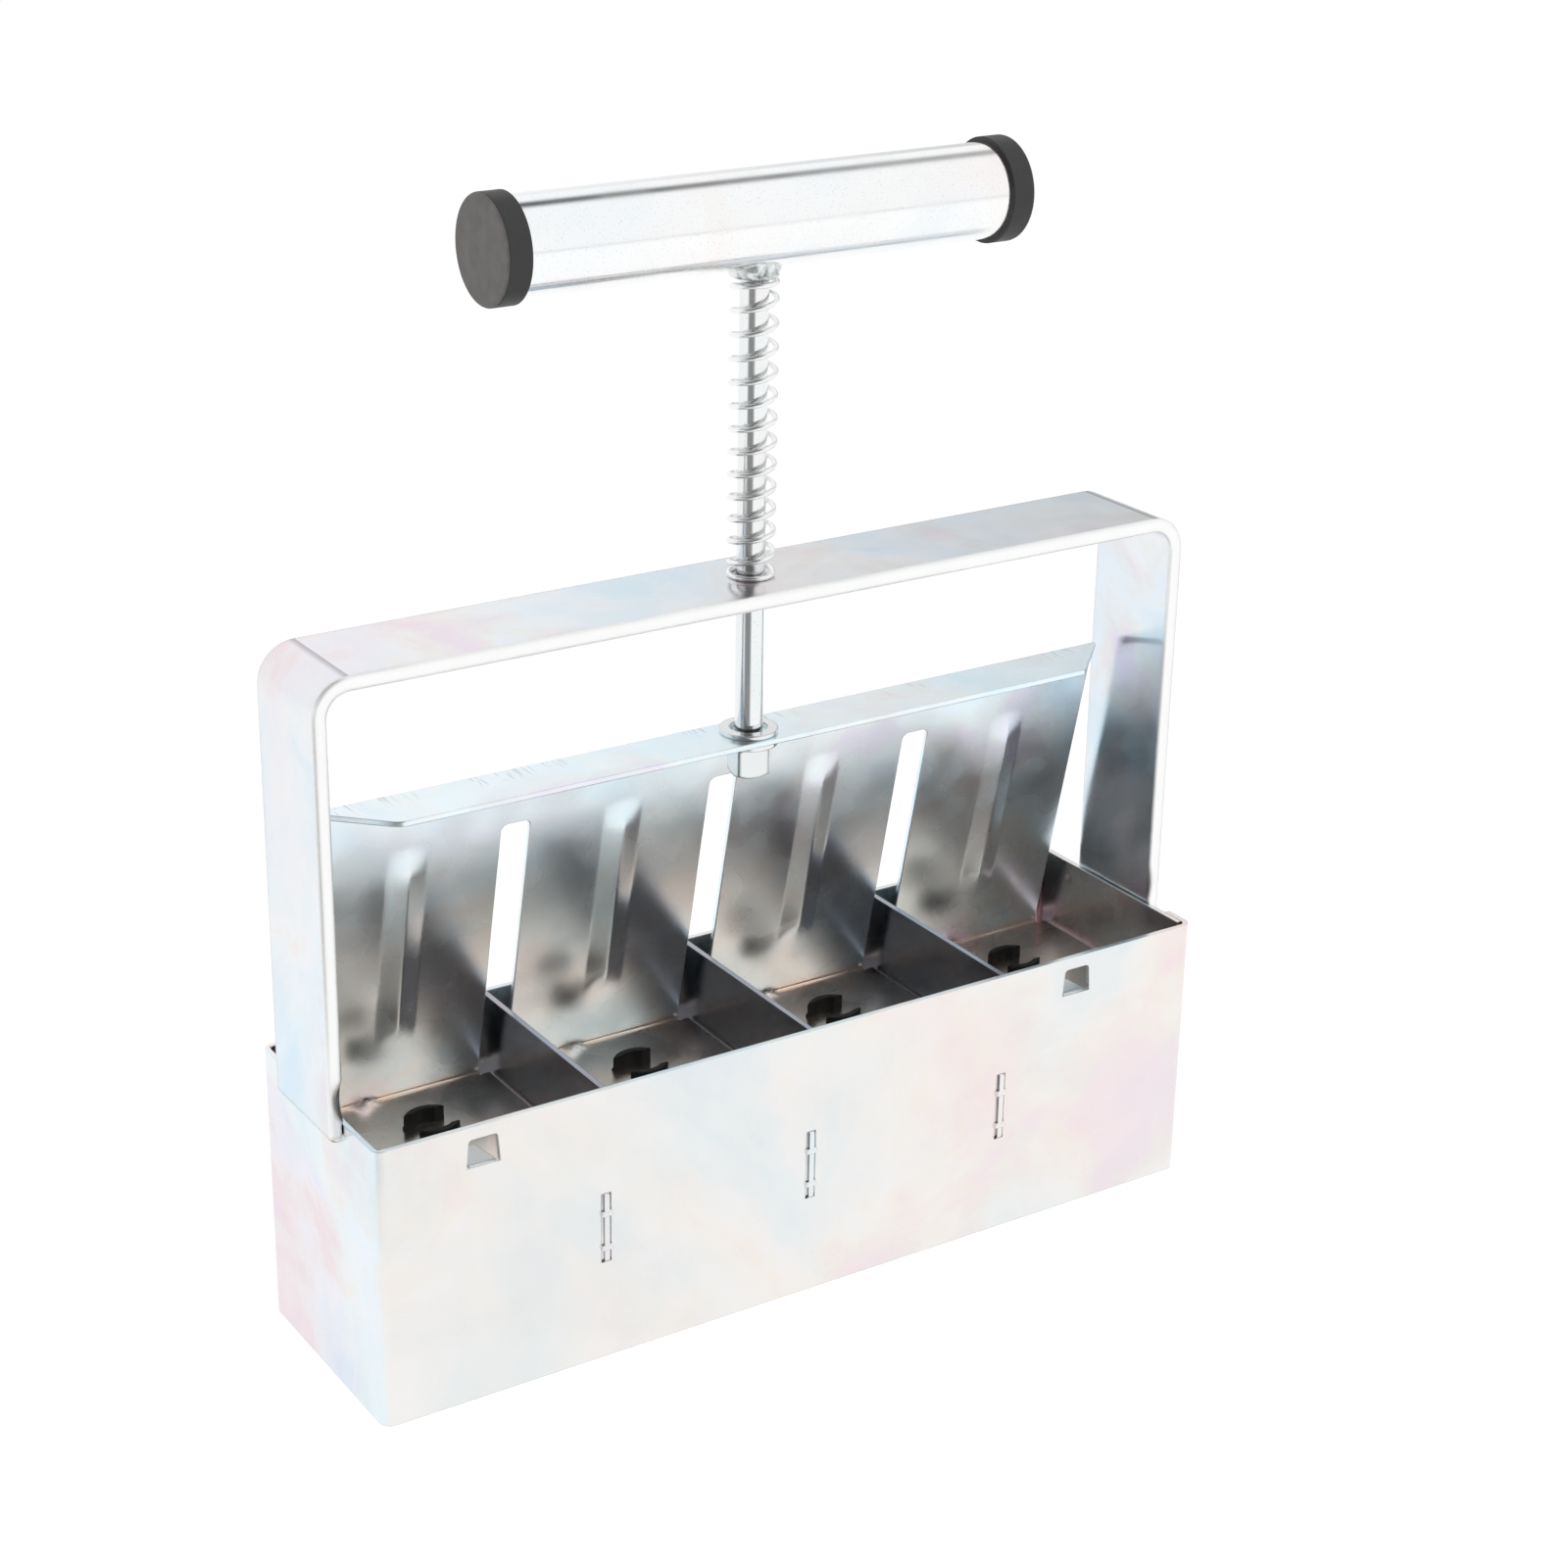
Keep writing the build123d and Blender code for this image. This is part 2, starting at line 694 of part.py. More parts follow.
nodes = {
    "mould_box": make_box(),
    "bridge": make_bridge(),
    "bridge_weld_left": make_leg_weld(-1),
    "bridge_weld_right": make_leg_weld(1),
    "ejector": make_ejector(),
    "push_rod": make_rod(),
    "square_nut": make_nut(),
    "upper_washer": make_washer(flange_top, upper_washer_thickness, upper_washer_hole),
    "lower_washer": make_washer(nut_top, lower_washer_thickness, lower_washer_hole),
    "handle_tube": make_handle_tube(),
    "end_cap_left": make_cap(-1),
    "end_cap_right": make_cap(1),
    "rod_weld": make_rod_weld(),
    "return_spring": make_spring(),
}
for number, place in enumerate(divider_places, 1):
    nodes[f"divider_{number}"] = make_divider(place)
for number, place in enumerate(cell_centres, 1):
    nodes[f"seed_pin_{number}"] = make_seed_pin(place)

os.makedirs("parts", exist_ok=True)
for name, shape in nodes.items():
    export_step(shape, f"parts/{name}.step")
    print(name, round(shape.volume, 1), len(shape.solids()))
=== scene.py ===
import bmesh
import bpy
import math
from mathutils import Matrix, Vector, noise
from mathutils.geometry import delaunay_2d_cdt


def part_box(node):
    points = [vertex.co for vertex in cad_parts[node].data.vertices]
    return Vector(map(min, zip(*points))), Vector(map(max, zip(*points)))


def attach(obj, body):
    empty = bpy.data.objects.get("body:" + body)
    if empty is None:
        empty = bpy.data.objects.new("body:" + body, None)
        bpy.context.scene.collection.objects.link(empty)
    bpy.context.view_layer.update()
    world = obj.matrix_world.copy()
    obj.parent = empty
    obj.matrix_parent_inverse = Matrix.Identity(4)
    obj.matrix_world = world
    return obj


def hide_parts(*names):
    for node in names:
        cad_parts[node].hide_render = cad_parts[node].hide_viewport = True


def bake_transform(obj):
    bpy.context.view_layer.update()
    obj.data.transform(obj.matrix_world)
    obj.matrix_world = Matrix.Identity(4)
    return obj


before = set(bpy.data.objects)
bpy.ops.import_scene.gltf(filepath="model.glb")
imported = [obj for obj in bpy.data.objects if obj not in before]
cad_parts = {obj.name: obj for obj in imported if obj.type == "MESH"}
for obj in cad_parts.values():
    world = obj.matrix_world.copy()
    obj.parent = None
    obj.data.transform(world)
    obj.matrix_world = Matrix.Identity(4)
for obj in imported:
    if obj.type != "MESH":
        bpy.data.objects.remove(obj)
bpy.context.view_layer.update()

mm = 0.001
print("frame loaded")


# helpers for nodes

def addNode(tree, kind, values=None, **settings):
    node = tree.nodes.new(kind)
    for name, value in settings.items():
        setattr(node, name, value)
    for name, value in (values or {}).items():
        if isinstance(value, bpy.types.NodeSocket):
            tree.links.new(value, node.inputs[name])
        else:
            node.inputs[name].default_value = value
    return node


def calc(tree, operation, a, b=0.0, clamp=False):
    node = addNode(tree, "ShaderNodeMath", {0: a, 1: b}, operation=operation, use_clamp=clamp)
    return node.outputs[0]


def product(tree, first, *others):
    for factor in others:
        first = calc(tree, "MULTIPLY", first, factor)
    return first


def opaque(colour):
    # a plain (red, green, blue) gets its alpha, a socket stays as it is
    return (*colour, 1) if isinstance(colour, tuple) else colour


def blendColours(tree, factor, a, b, mode="MIX"):
    node = addNode(tree, "ShaderNodeMix", {0: factor, 6: opaque(a), 7: opaque(b)},
                   data_type="RGBA", blend_type=mode)
    return node.outputs[2]


def ramp(tree, value, stops, kind="LINEAR"):
    node = addNode(tree, "ShaderNodeValToRGB", {0: value})
    node.color_ramp.interpolation = kind
    elements = node.color_ramp.elements
    while len(elements) < len(stops):
        elements.new(0.5)
    for element, (place, colour) in zip(elements, stops):
        element.position = place
        element.color = opaque(colour)
    return node.outputs[0]


def spread(tree, value, low, high, toLow=0.0, toHigh=1.0, smooth=False):
    # carries low to high over to toLow to toHigh, and stays level outside them
    kind = "SMOOTHSTEP" if smooth else "LINEAR"
    node = addNode(tree, "ShaderNodeMapRange", {0: value, 1: low, 2: high, 3: toLow, 4: toHigh},
                   interpolation_type=kind)
    return node.outputs[0]


def objectPlace(tree):
    return addNode(tree, "ShaderNodeTexCoord").outputs["Object"]


def axesOf(tree, place):
    return addNode(tree, "ShaderNodeSeparateXYZ", {0: place}).outputs


def mottle(tree, place, scale, detail, **more):
    values = {"Vector": place, "Scale": scale, "Detail": detail, **more}
    return addNode(tree, "ShaderNodeTexNoise", values).outputs[0]


def newGroup(name, inputs, outputs):
    tree = bpy.data.node_groups.new(name, "ShaderNodeTree")
    for socketName, kind, value in inputs:
        socket = tree.interface.new_socket(name=socketName, in_out="INPUT", socket_type=kind)
        socket.default_value = value
    for socketName, kind in outputs:
        tree.interface.new_socket(name=socketName, in_out="OUTPUT", socket_type=kind)
    return tree, tree.nodes.new("NodeGroupInput").outputs, tree.nodes.new("NodeGroupOutput").inputs


def useGroup(tree, group, values):
    return addNode(tree, "ShaderNodeGroup", values, node_tree=group).outputs


# the pale pink, cream, green and blue clouds of a clear chromate film on zinc
filmLook = {
    "fine": [(0.36, (0.74, 0.92, 1.0)), (0.44, (0.90, 0.98, 1.0)), (0.50, (0.99, 1.0, 0.99)),
             (0.54, (1.0, 0.94, 0.86)), (0.58, (1.0, 0.85, 0.80)), (0.64, (1.0, 0.71, 0.85))],
    "wide": [(0.40, (0.78, 0.93, 1.0)), (0.47, (0.97, 1.0, 1.0)), (0.53, (1.0, 0.95, 0.88)),
             (0.60, (1.0, 0.80, 0.86))],
    "wideScale": 0.45, "wideShare": 0.4,
}


def makePlateColours():
    tree, given, result = newGroup(
        "plateColours",
        [("Base", "NodeSocketColor", (0.8, 0.8, 0.8, 1)), ("Clouds", "NodeSocketFloat", 22.0),
         ("Strength", "NodeSocketFloat", 0.5)],
        [("Colour", "NodeSocketColor")],
    )
    place = objectPlace(tree)
    fine = mottle(tree, place, given["Clouds"], 5, Roughness=0.6, Distortion=0.5)
    wide = mottle(tree, place, product(tree, given["Clouds"], filmLook["wideScale"]), 3, Distortion=1.2)
    both = blendColours(tree, filmLook["wideShare"], ramp(tree, fine, filmLook["fine"], "EASE"),
                        ramp(tree, wide, filmLook["wide"], "EASE"))
    tinted = blendColours(tree, 1.0, given["Base"], both, "MULTIPLY")
    tree.links.new(blendColours(tree, given["Strength"], given["Base"], tinted), result["Colour"])
    return tree


# the fine crystals and pits of plating and of moulded plastic
grainLook = {"coarseScale": 0.35, "pitScale": 0.7, "pitEdge": (0.12, 0.34), "pitsFrom": 0.35}


def makeFineGrain():
    tree, given, result = newGroup(
        "fineGrain",
        [("Grains", "NodeSocketFloat", 3000.0)],
        [("Height", "NodeSocketFloat"), ("Specks", "NodeSocketFloat")],
    )
    place = objectPlace(tree)
    fine = mottle(tree, place, given["Grains"], 2, Roughness=0.6)
    coarse = mottle(tree, place, product(tree, given["Grains"], grainLook["coarseScale"]), 3, Roughness=0.65)
    tree.links.new(calc(tree, "ADD", fine, coarse), result["Height"])
    pitScale = product(tree, given["Grains"], grainLook["pitScale"])
    pits = addNode(tree, "ShaderNodeTexVoronoi", {"Vector": place, "Scale": pitScale}).outputs
    chosen = addNode(tree, "ShaderNodeSeparateColor", {0: pits["Color"]}).outputs[0]
    depth = spread(tree, pits["Distance"], *grainLook["pitEdge"], 1.0, 0.0)
    some = spread(tree, chosen, grainLook["pitsFrom"], 1.0)
    tree.links.new(product(tree, depth, some), result["Specks"])
    return tree


def makeSheetWaves():
    # rolled sheet is never quite flat, which is what bends its reflections
    tree, given, result = newGroup(
        "sheetWaves", [("Waves", "NodeSocketFloat", 28.0)], [("Height", "NodeSocketFloat")],
    )
    tree.links.new(mottle(tree, objectPlace(tree), given["Waves"], 1.5), result["Height"])
    return tree


# thin marks along one direction, in loose patches
markLook = {"softness": 0.06, "patchSpan": (0.50, 0.70)}


def makeScratchMarks():
    tree, given, result = newGroup(
        "scratchMarks",
        [("Stretch", "NodeSocketVector", (18.0, 1000.0, 1000.0)), ("Patches", "NodeSocketFloat", 45.0),
         ("Amount", "NodeSocketFloat", 0.5), ("Level", "NodeSocketFloat", 0.70)],
        [("Marks", "NodeSocketFloat")],
    )
    place = objectPlace(tree)
    drawn = addNode(tree, "ShaderNodeVectorMath", {0: place, 1: given["Stretch"]}, operation="MULTIPLY")
    line = mottle(tree, drawn.outputs[0], 1.0, 1)
    patch = mottle(tree, place, given["Patches"], 2)
    thin = spread(tree, line, given["Level"], calc(tree, "ADD", given["Level"], markLook["softness"]))
    where = spread(tree, patch, *markLook["patchSpan"])
    tree.links.new(product(tree, thin, where, given["Amount"]), result["Marks"])
    return tree


def makeEdgeWearAndSheen():
    # 1 on the edges: it marks rubbed wear on plastic, a painted highlight along the edges of plated steel,
    #                 and a painted dark outline on the nut and washer
    tree, given, result = newGroup(
        "edgeWearAndSheen",
        [("Radius", "NodeSocketFloat", 0.0003), ("Gain", "NodeSocketFloat", 3.0)],
        [("Edges", "NodeSocketFloat"), ("Normal", "NodeSocketVector")],
    )
    soft = addNode(tree, "ShaderNodeBevel", {"Radius": given["Radius"]}, samples=4).outputs[0]
    hard = addNode(tree, "ShaderNodeNewGeometry").outputs["Normal"]
    near = addNode(tree, "ShaderNodeVectorMath", {0: soft, 1: hard}, operation="DOT_PRODUCT")
    apart = calc(tree, "SUBTRACT", 1.0, near.outputs["Value"])
    tree.links.new(calc(tree, "MULTIPLY", apart, given["Gain"], clamp=True), result["Edges"])
    tree.links.new(soft, result["Normal"])
    return tree


plateColours = makePlateColours()
fineGrain = makeFineGrain()
sheetWaves = makeSheetWaves()
scratchMarks = makeScratchMarks()
edgeWearAndSheen = makeEdgeWearAndSheen()
print("shared effects built")


# plated steel: places and spans on the part are in metres
boxInside = (0.1012, 0.02562)    # the mould box's inside reaches this far from its middle, in x and y

# edgeShine blends edgeColour along the edges: a painted highlight on plated steel
plainZinc = {
    "cloudScale": 22.0, "waves": 28.0, "waveHeight": 0.00006, "dullScale": 90.0, "dullSpan": (0.35, 0.65),
    "roughSpan": (-0.04, 0.05), "edge": 0.0003, "edgeGain": 2.0, "edgeShine": 0.5,
    "edgeColour": (0.93, 0.94, 0.94), "speckColour": (0.35, 0.34, 0.33), "scratchColour": (0.97, 0.97, 0.97),
}
boxLook = {
    **plainZinc, "colour": (0.889, 0.865, 0.852), "rough": 0.24, "clouds": 0.55, "cloudScale": 17.0,
    # inside the box the faces are darker: partly duller plating, partly painted shade
    "insideShadeColour": (0.62, 0.60, 0.59), "endShadeAndReflectionColour": (0.56, 0.36, 0.33), "endFrom": 0.1005,
    # the end colour above paints the inner end faces browner and darker: painted shade and warm reflection
    "leftColour": (0.85, 0.90, 0.95), "leftClouds": 0.65, "leftSpan": (-0.1010, -0.1022),
}
bridgeLook = {
    **plainZinc, "colour": (0.845, 0.868, 0.912), "rough": 0.17, "clouds": 0.8, "cloudScale": 24.0,
    "scratches": 0.4, "edge": 0.0014, "edgeShine": 0.0,
    # the sides colour paints the bar's front and back faces pale: a painted highlight
    "sidesFrom": (0.0118, 0.0124), "sidesHighlightColour": (0.93, 0.94, 0.93),
    "bendShadeLine": {"from": 0.0972, "width": 0.0018, "rise": 0.15, "strength": 0.7, "top": (0.1540, 0.1550),
                 "between": (0.0120, 0.0124), "colour": (0.30, 0.31, 0.33)},
}
dividerLook = {
    # the dividers' faces inside the box are darkened: painted shade
    **plainZinc, "colour": (0.86, 0.88, 0.89), "insideShadeColour": (0.42, 0.41, 0.46), "rough": 0.22,
    "clouds": 0.6, "cloudScale": 32.0, "edge": 0.00025,
}
ejectorLook = {
    **plainZinc, "colour": (0.875, 0.955, 1.0), "rough": 0.26, "clouds": 0.6, "cloudScale": 26.0,
    # the low colour paints the plates warmer and darker: painted shade and warm reflection
    "waveHeight": 0.00004, "edge": 0.00025, "lowShadeAndReflectionColour": (0.98, 0.82, 0.72), "lowSpan": (0.0455, 0.0475),
    "ticks": {"stretch": (1500.0, 120.0, 120.0), "patches": 30.0, "amount": 1.0, "level": 0.57,
              "above": (0.1195, 0.1203), "behind": (0.001, 0.0045), "colour": (0.38, 0.39, 0.42)},
}
rodLook = {
    **plainZinc, "colour": (0.86, 0.88, 0.885), "rough": 0.13, "clouds": 0.2, "specks": 0.3,
    "grains": 2200.0, "edge": 0.0002, "waveHeight": 0.00001,
}
tubeLook = {
    **plainZinc, "colour": (0.95, 0.955, 0.965), "rough": 0.15, "clouds": 0.35, "specks": 0.35,
    "grains": 2600.0, "scratches": 0.5, "edge": 0.0002, "waveHeight": 0.000015,
}
# the nut's edges carry a painted dark outline, painted shade
nutLook = {
    **plainZinc, "colour": (0.82, 0.84, 0.84), "rough": 0.18, "clouds": 0.2, "edge": 0.0008,
    "edgeGain": 14.0, "edgeShine": 1.0, "edgeColour": (0.13, 0.14, 0.145),
}
# the washer's edges carry a painted dark outline, painted shade
washerLook = {
    **plainZinc, "colour": (0.84, 0.86, 0.86), "rough": 0.18, "clouds": 0.25, "edge": 0.0004,
    "edgeGain": 8.0, "edgeShine": 0.8, "edgeColour": (0.25, 0.27, 0.28),
}
springLook = {
    **plainZinc, "colour": (0.93, 0.94, 0.94), "rough": 0.26, "clouds": 0.1, "edge": 0.0001,
    "edgeShine": 0.0, "waveHeight": 0.0,
}


def newMaterial(name):
    material = bpy.data.materials.new(name)
    material.use_nodes = True
    return material, material.node_tree, material.node_tree.nodes["Principled BSDF"]


def fromMiddle(tree, axis):
    return calc(tree, "ABSOLUTE", axis)


def insideMask(tree, axes):
    # 1 inside the mould box, 0 on its outer faces
    within = [calc(tree, "LESS_THAN", fromMiddle(tree, axis), reach) for axis, reach in zip(axes, boxInside)]
    return product(tree, *within)


def platedColour(tree, axes, look):
    # the colour of each stretch of the part under its film, with painted shade and painted warm reflection
    # where the look asks for them
    colour, strength = look["colour"], look["clouds"]
    # painted shade on the faces inside the mould box
    if "insideShadeColour" in look:
        inside = insideMask(tree, axes)
        colour = blendColours(tree, inside, colour, look["insideShadeColour"])
    # painted shade and warm reflection on the box's inner end faces
    if "endShadeAndReflectionColour" in look:
        atEnd = calc(tree, "GREATER_THAN", fromMiddle(tree, axes[0]), look["endFrom"])
        colour = blendColours(tree, product(tree, inside, atEnd), colour, look["endShadeAndReflectionColour"])
    # painted shade and warm reflection on the ejector's plates, low in the cells
    if "lowShadeAndReflectionColour" in look:
        low = spread(tree, axes[2], *look["lowSpan"], 1.0, 0.0, smooth=True)
        colour = blendColours(tree, low, colour, look["lowShadeAndReflectionColour"])
    if "leftColour" in look:
        # the film is thicker on the left end
        atLeft = spread(tree, axes[0], *look["leftSpan"])
        strength = calc(tree, "ADD", strength, product(tree, atLeft, look["leftClouds"]))
        colour = blendColours(tree, atLeft, colour, look["leftColour"])
    film = useGroup(tree, plateColours, {"Base": opaque(colour), "Clouds": look["cloudScale"],
                                         "Strength": strength})
    return film["Colour"]


def bendShadeLineMask(tree, axes, line):
    # painted shade: the dark reflection line across the top of the bar where each bend begins
    past = calc(tree, "SUBTRACT", fromMiddle(tree, axes[0]), line["from"])
    rising = spread(tree, past, -line["rise"] * line["width"], 0.0)
    falling = spread(tree, past, 0.0, line["width"], 1.0, 0.0, smooth=True)
    onTop = spread(tree, axes[2], *line["top"])
    between = spread(tree, fromMiddle(tree, axes[1]), *line["between"], 1.0, 0.0)
    return product(tree, rising, falling, onTop, between, line["strength"])


def tickMask(tree, axes, ticks):
    # short marks of the press across the flange
    marks = useGroup(tree, scratchMarks, {"Stretch": ticks["stretch"], "Patches": ticks["patches"],
                                          "Amount": ticks["amount"], "Level": ticks["level"]})["Marks"]
    above = spread(tree, axes[2], *ticks["above"])
    behind = spread(tree, axes[1], *ticks["behind"])
    return product(tree, marks, above, behind)


def markedColour(tree, axes, look, colour, edges):
    if "specks" in look:
        specks = useGroup(tree, fineGrain, {"Grains": look["grains"]})["Specks"]
        colour = blendColours(tree, product(tree, specks, look["specks"]), colour, look["speckColour"])
    if "scratches" in look:
        marks = useGroup(tree, scratchMarks, {"Amount": look["scratches"]})["Marks"]
        colour = blendColours(tree, marks, colour, look["scratchColour"])
    # painted highlight along the edges, and a painted dark outline where the edge colour is dark
    colour = blendColours(tree, product(tree, edges, look["edgeShine"]), colour, look["edgeColour"])
    # painted highlight on the bar's front and back faces
    if "sidesHighlightColour" in look:
        beside = spread(tree, fromMiddle(tree, axes[1]), *look["sidesFrom"])
        colour = blendColours(tree, beside, colour, look["sidesHighlightColour"])
    # painted dark reflection line where each bend of the bridge begins
    if "bendShadeLine" in look:
        line = bendShadeLineMask(tree, axes, look["bendShadeLine"])
        colour = blendColours(tree, line, colour, look["bendShadeLine"]["colour"])
    if "ticks" in look:
        ticks = tickMask(tree, axes, look["ticks"])
        colour = blendColours(tree, ticks, colour, look["ticks"]["colour"])
    return colour


def zincFinish(name, look):
    # base colour, film, marks and painted edge highlights over faintly wavy sheet
    material, tree, shader = newMaterial(name)
    shader.inputs["Metallic"].default_value = 1.0
    place = objectPlace(tree)
    axes = axesOf(tree, place)
    wornAndSheen = useGroup(tree, edgeWearAndSheen, {"Radius": look["edge"], "Gain": look["edgeGain"]})
    colour = markedColour(tree, axes, look, platedColour(tree, axes, look), wornAndSheen["Edges"])
    tree.links.new(colour, shader.inputs["Base Color"])
    clean, dull = (look["rough"] + more for more in look["roughSpan"])
    dullness = mottle(tree, place, look["dullScale"], 1)
    tree.links.new(spread(tree, dullness, *look["dullSpan"], clean, dull), shader.inputs["Roughness"])
    waves = useGroup(tree, sheetWaves, {"Waves": look["waves"]})
    wavy = addNode(tree, "ShaderNodeBump", {"Height": waves["Height"], "Normal": wornAndSheen["Normal"],
                                            "Distance": look["waveHeight"]})
    tree.links.new(wavy.outputs[0], shader.inputs["Normal"])
    return material


# moulded plastic with a fine matt texture and rubbed edges
plainPlastic = {
    "cloudScale": 260.0, "darkest": 0.8, "grains": 5200.0, "specks": 0.25, "speckColour": (0.16, 0.16, 0.16),
    "edgeGain": 2.5, "rubColour": (0.14, 0.14, 0.145), "faceMottleSpan": (0.35, 0.65), "cloudSpan": (0.3, 0.7),
    "roughSpread": 0.06, "grainHeight": 0.000014,
}
capLook = {
    **plainPlastic, "colour": (0.034, 0.034, 0.034), "rough": 0.5, "edge": 0.0004, "rub": 0.35, "gloss": 0.4,
    "faceColour": (0.095, 0.089, 0.085), "faceCloud": (0.145, 0.136, 0.128), "faceFrom": 0.0607,
}
pinLook = {
    **plainPlastic, "colour": (0.012, 0.012, 0.012), "rough": 0.40, "edge": 0.00025, "rub": 0.2,
    "gloss": 0.15,
}


def blackPlastic(name, look):
    material, tree, shader = newMaterial(name)
    shader.inputs["Specular IOR Level"].default_value = look["gloss"]
    place = objectPlace(tree)
    cloud = mottle(tree, place, look["cloudScale"], 5, Roughness=0.6)
    grain = useGroup(tree, fineGrain, {"Grains": look["grains"]})
    wornAndSheen = useGroup(tree, edgeWearAndSheen, {"Radius": look["edge"], "Gain": look["edgeGain"]})
    dark = tuple(channel * look["darkest"] for channel in look["colour"])
    colour = blendColours(tree, cloud, dark, look["colour"])
    # the end face is lighter and browner than the side, and mottled
    if "faceColour" in look:
        onFace = calc(tree, "GREATER_THAN", fromMiddle(tree, axesOf(tree, place)[0]), look["faceFrom"])
        faceMottle = spread(tree, cloud, *look["faceMottleSpan"])
        face = blendColours(tree, faceMottle, look["faceColour"], look["faceCloud"])
        colour = blendColours(tree, onFace, colour, face)
    colour = blendColours(tree, product(tree, grain["Specks"], look["specks"]), colour, look["speckColour"])
    colour = blendColours(tree, product(tree, wornAndSheen["Edges"], look["rub"]), colour, look["rubColour"])
    tree.links.new(colour, shader.inputs["Base Color"])
    rough = spread(tree, cloud, *look["cloudSpan"], look["rough"] - look["roughSpread"],
                   look["rough"] + look["roughSpread"])
    tree.links.new(rough, shader.inputs["Roughness"])
    bump = addNode(tree, "ShaderNodeBump", {"Height": grain["Height"], "Normal": wornAndSheen["Normal"],
                                            "Distance": look["grainHeight"]})
    tree.links.new(bump.outputs[0], shader.inputs["Normal"])
    return material


# weld metal: ripples with heat colours, brown in the hollows
plainWeld = {
    "heatScale": 420.0, "heatStops": (0.34, 0.46, 0.56, 0.72), "heatSpan": (0.35, 0.65), "grains": 2600.0,
    "specks": 0.7, "speckColour": (0.05, 0.045, 0.04),
    "hollowRough": 0.42, "crestRough": 0.24, "grainHeight": 0.00004,
}
footWeldLook = {
    **plainWeld, "colour": (0.80, 0.80, 0.78), "gold": (0.60, 0.49, 0.33), "hollow": (0.12, 0.09, 0.06),
}
rodWeldLook = {
    **plainWeld, "colour": (0.84, 0.86, 0.86), "gold": (0.66, 0.69, 0.70), "hollow": (0.20, 0.21, 0.21),
}


def weldFinish(name, look):
    material, tree, shader = newMaterial(name)
    shader.inputs["Metallic"].default_value = 1.0
    heat = mottle(tree, objectPlace(tree), look["heatScale"], 4, Distortion=0.6)
    colours = [look["hollow"], look["gold"], look["colour"], look["colour"]]
    colour = ramp(tree, heat, list(zip(look["heatStops"], colours)))
    grain = useGroup(tree, fineGrain, {"Grains": look["grains"]})
    colour = blendColours(tree, product(tree, grain["Specks"], look["specks"]), colour, look["speckColour"])
    tree.links.new(colour, shader.inputs["Base Color"])
    rough = spread(tree, heat, *look["heatSpan"], look["hollowRough"], look["crestRough"])
    tree.links.new(rough, shader.inputs["Roughness"])
    bump = addNode(tree, "ShaderNodeBump", {"Height": grain["Height"], "Distance": look["grainHeight"]})
    tree.links.new(bump.outputs[0], shader.inputs["Normal"])
    return material


zincDivider = zincFinish("zincDivider", dividerLook)
zincEjector = zincFinish("zincEjector", ejectorLook)
zincWasher = zincFinish("zincWasher", washerLook)
springWire = zincFinish("springWire", springLook)
capPlastic = blackPlastic("capPlastic", capLook)
pinPlastic = blackPlastic("pinPlastic", pinLook)
footWeld = weldFinish("footWeld", footWeldLook)
rodWeld = weldFinish("rodWeld", rodWeldLook)

finishes = {
    "mould_box": zincFinish("zincBox", boxLook), "bridge": zincFinish("zincBridge", bridgeLook),
    "push_rod": zincFinish("zincRod", rodLook), "handle_tube": zincFinish("zincTube", tubeLook),
    "square_nut": zincFinish("zincNut", nutLook), "upper_washer": zincWasher, "lower_washer": zincWasher,
    "end_cap_left": capPlastic, "end_cap_right": capPlastic, "ejector": zincEjector,
    "return_spring": springWire, "rod_weld": rodWeld,
    "bridge_weld_left": footWeld, "bridge_weld_right": footWeld,
}
for name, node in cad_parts.items():
    finish = finishes.get(name) or (pinPlastic if name.startswith("seed_pin") else zincDivider)
    for materialSlot in node.material_slots:
        materialSlot.material = finish
print("finishes on the carried-over parts")


# pieces of our own

def meshPiece(name, points, faces, material, body, slotName):
    mesh = bpy.data.meshes.new(name)
    mesh.from_pydata([tuple(point) for point in points], [], faces)
    mesh.validate()
    cleaner = bmesh.new()
    cleaner.from_mesh(mesh)
    bmesh.ops.recalc_face_normals(cleaner, faces=cleaner.faces)
    cleaner.to_mesh(mesh)
    cleaner.free()
    mesh.materials.append(material)
    mesh.shade_smooth()
    piece = bpy.data.objects.new(name, mesh)
    bpy.context.scene.collection.objects.link(piece)
    if body:
        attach(piece, body)
    return piece


def loft(rings, capped=True):
    # faces between closed rings of equal length, and over the first and the last ring
    count = len(rings[0])
    points = [point for ring in rings for point in ring]
    faces = []
    for row in range(len(rings) - 1):
        for i in range(count):
            j = (i + 1) % count
            a, b = row * count, (row + 1) * count
            faces.append((a + i, a + j, b + j, b + i))
    if capped:
        faces.append(tuple(range(count))[::-1])
        faces.append(tuple(range(len(points) - count, len(points))))
    return points, faces


# return spring: round wire, level at both ends, opening a little towards the top, in millimetres and turns
spring = {"wire": 1.1, "turns": 14, "levelTurns": 0.5, "ramp": 0.3, "growth": 0.10, "stepsPerTurn": 48,
          "sides": 14, "endDome": 0.16, "domeWidth": 0.55}


def springPitch(turn):
    fromEnd = min(turn, spring["turns"] - turn) - spring["levelTurns"]
    share = min(max(fromEnd / spring["ramp"], 0), 1)
    return share * (1 + spring["growth"] * (turn / spring["turns"] - 0.5))


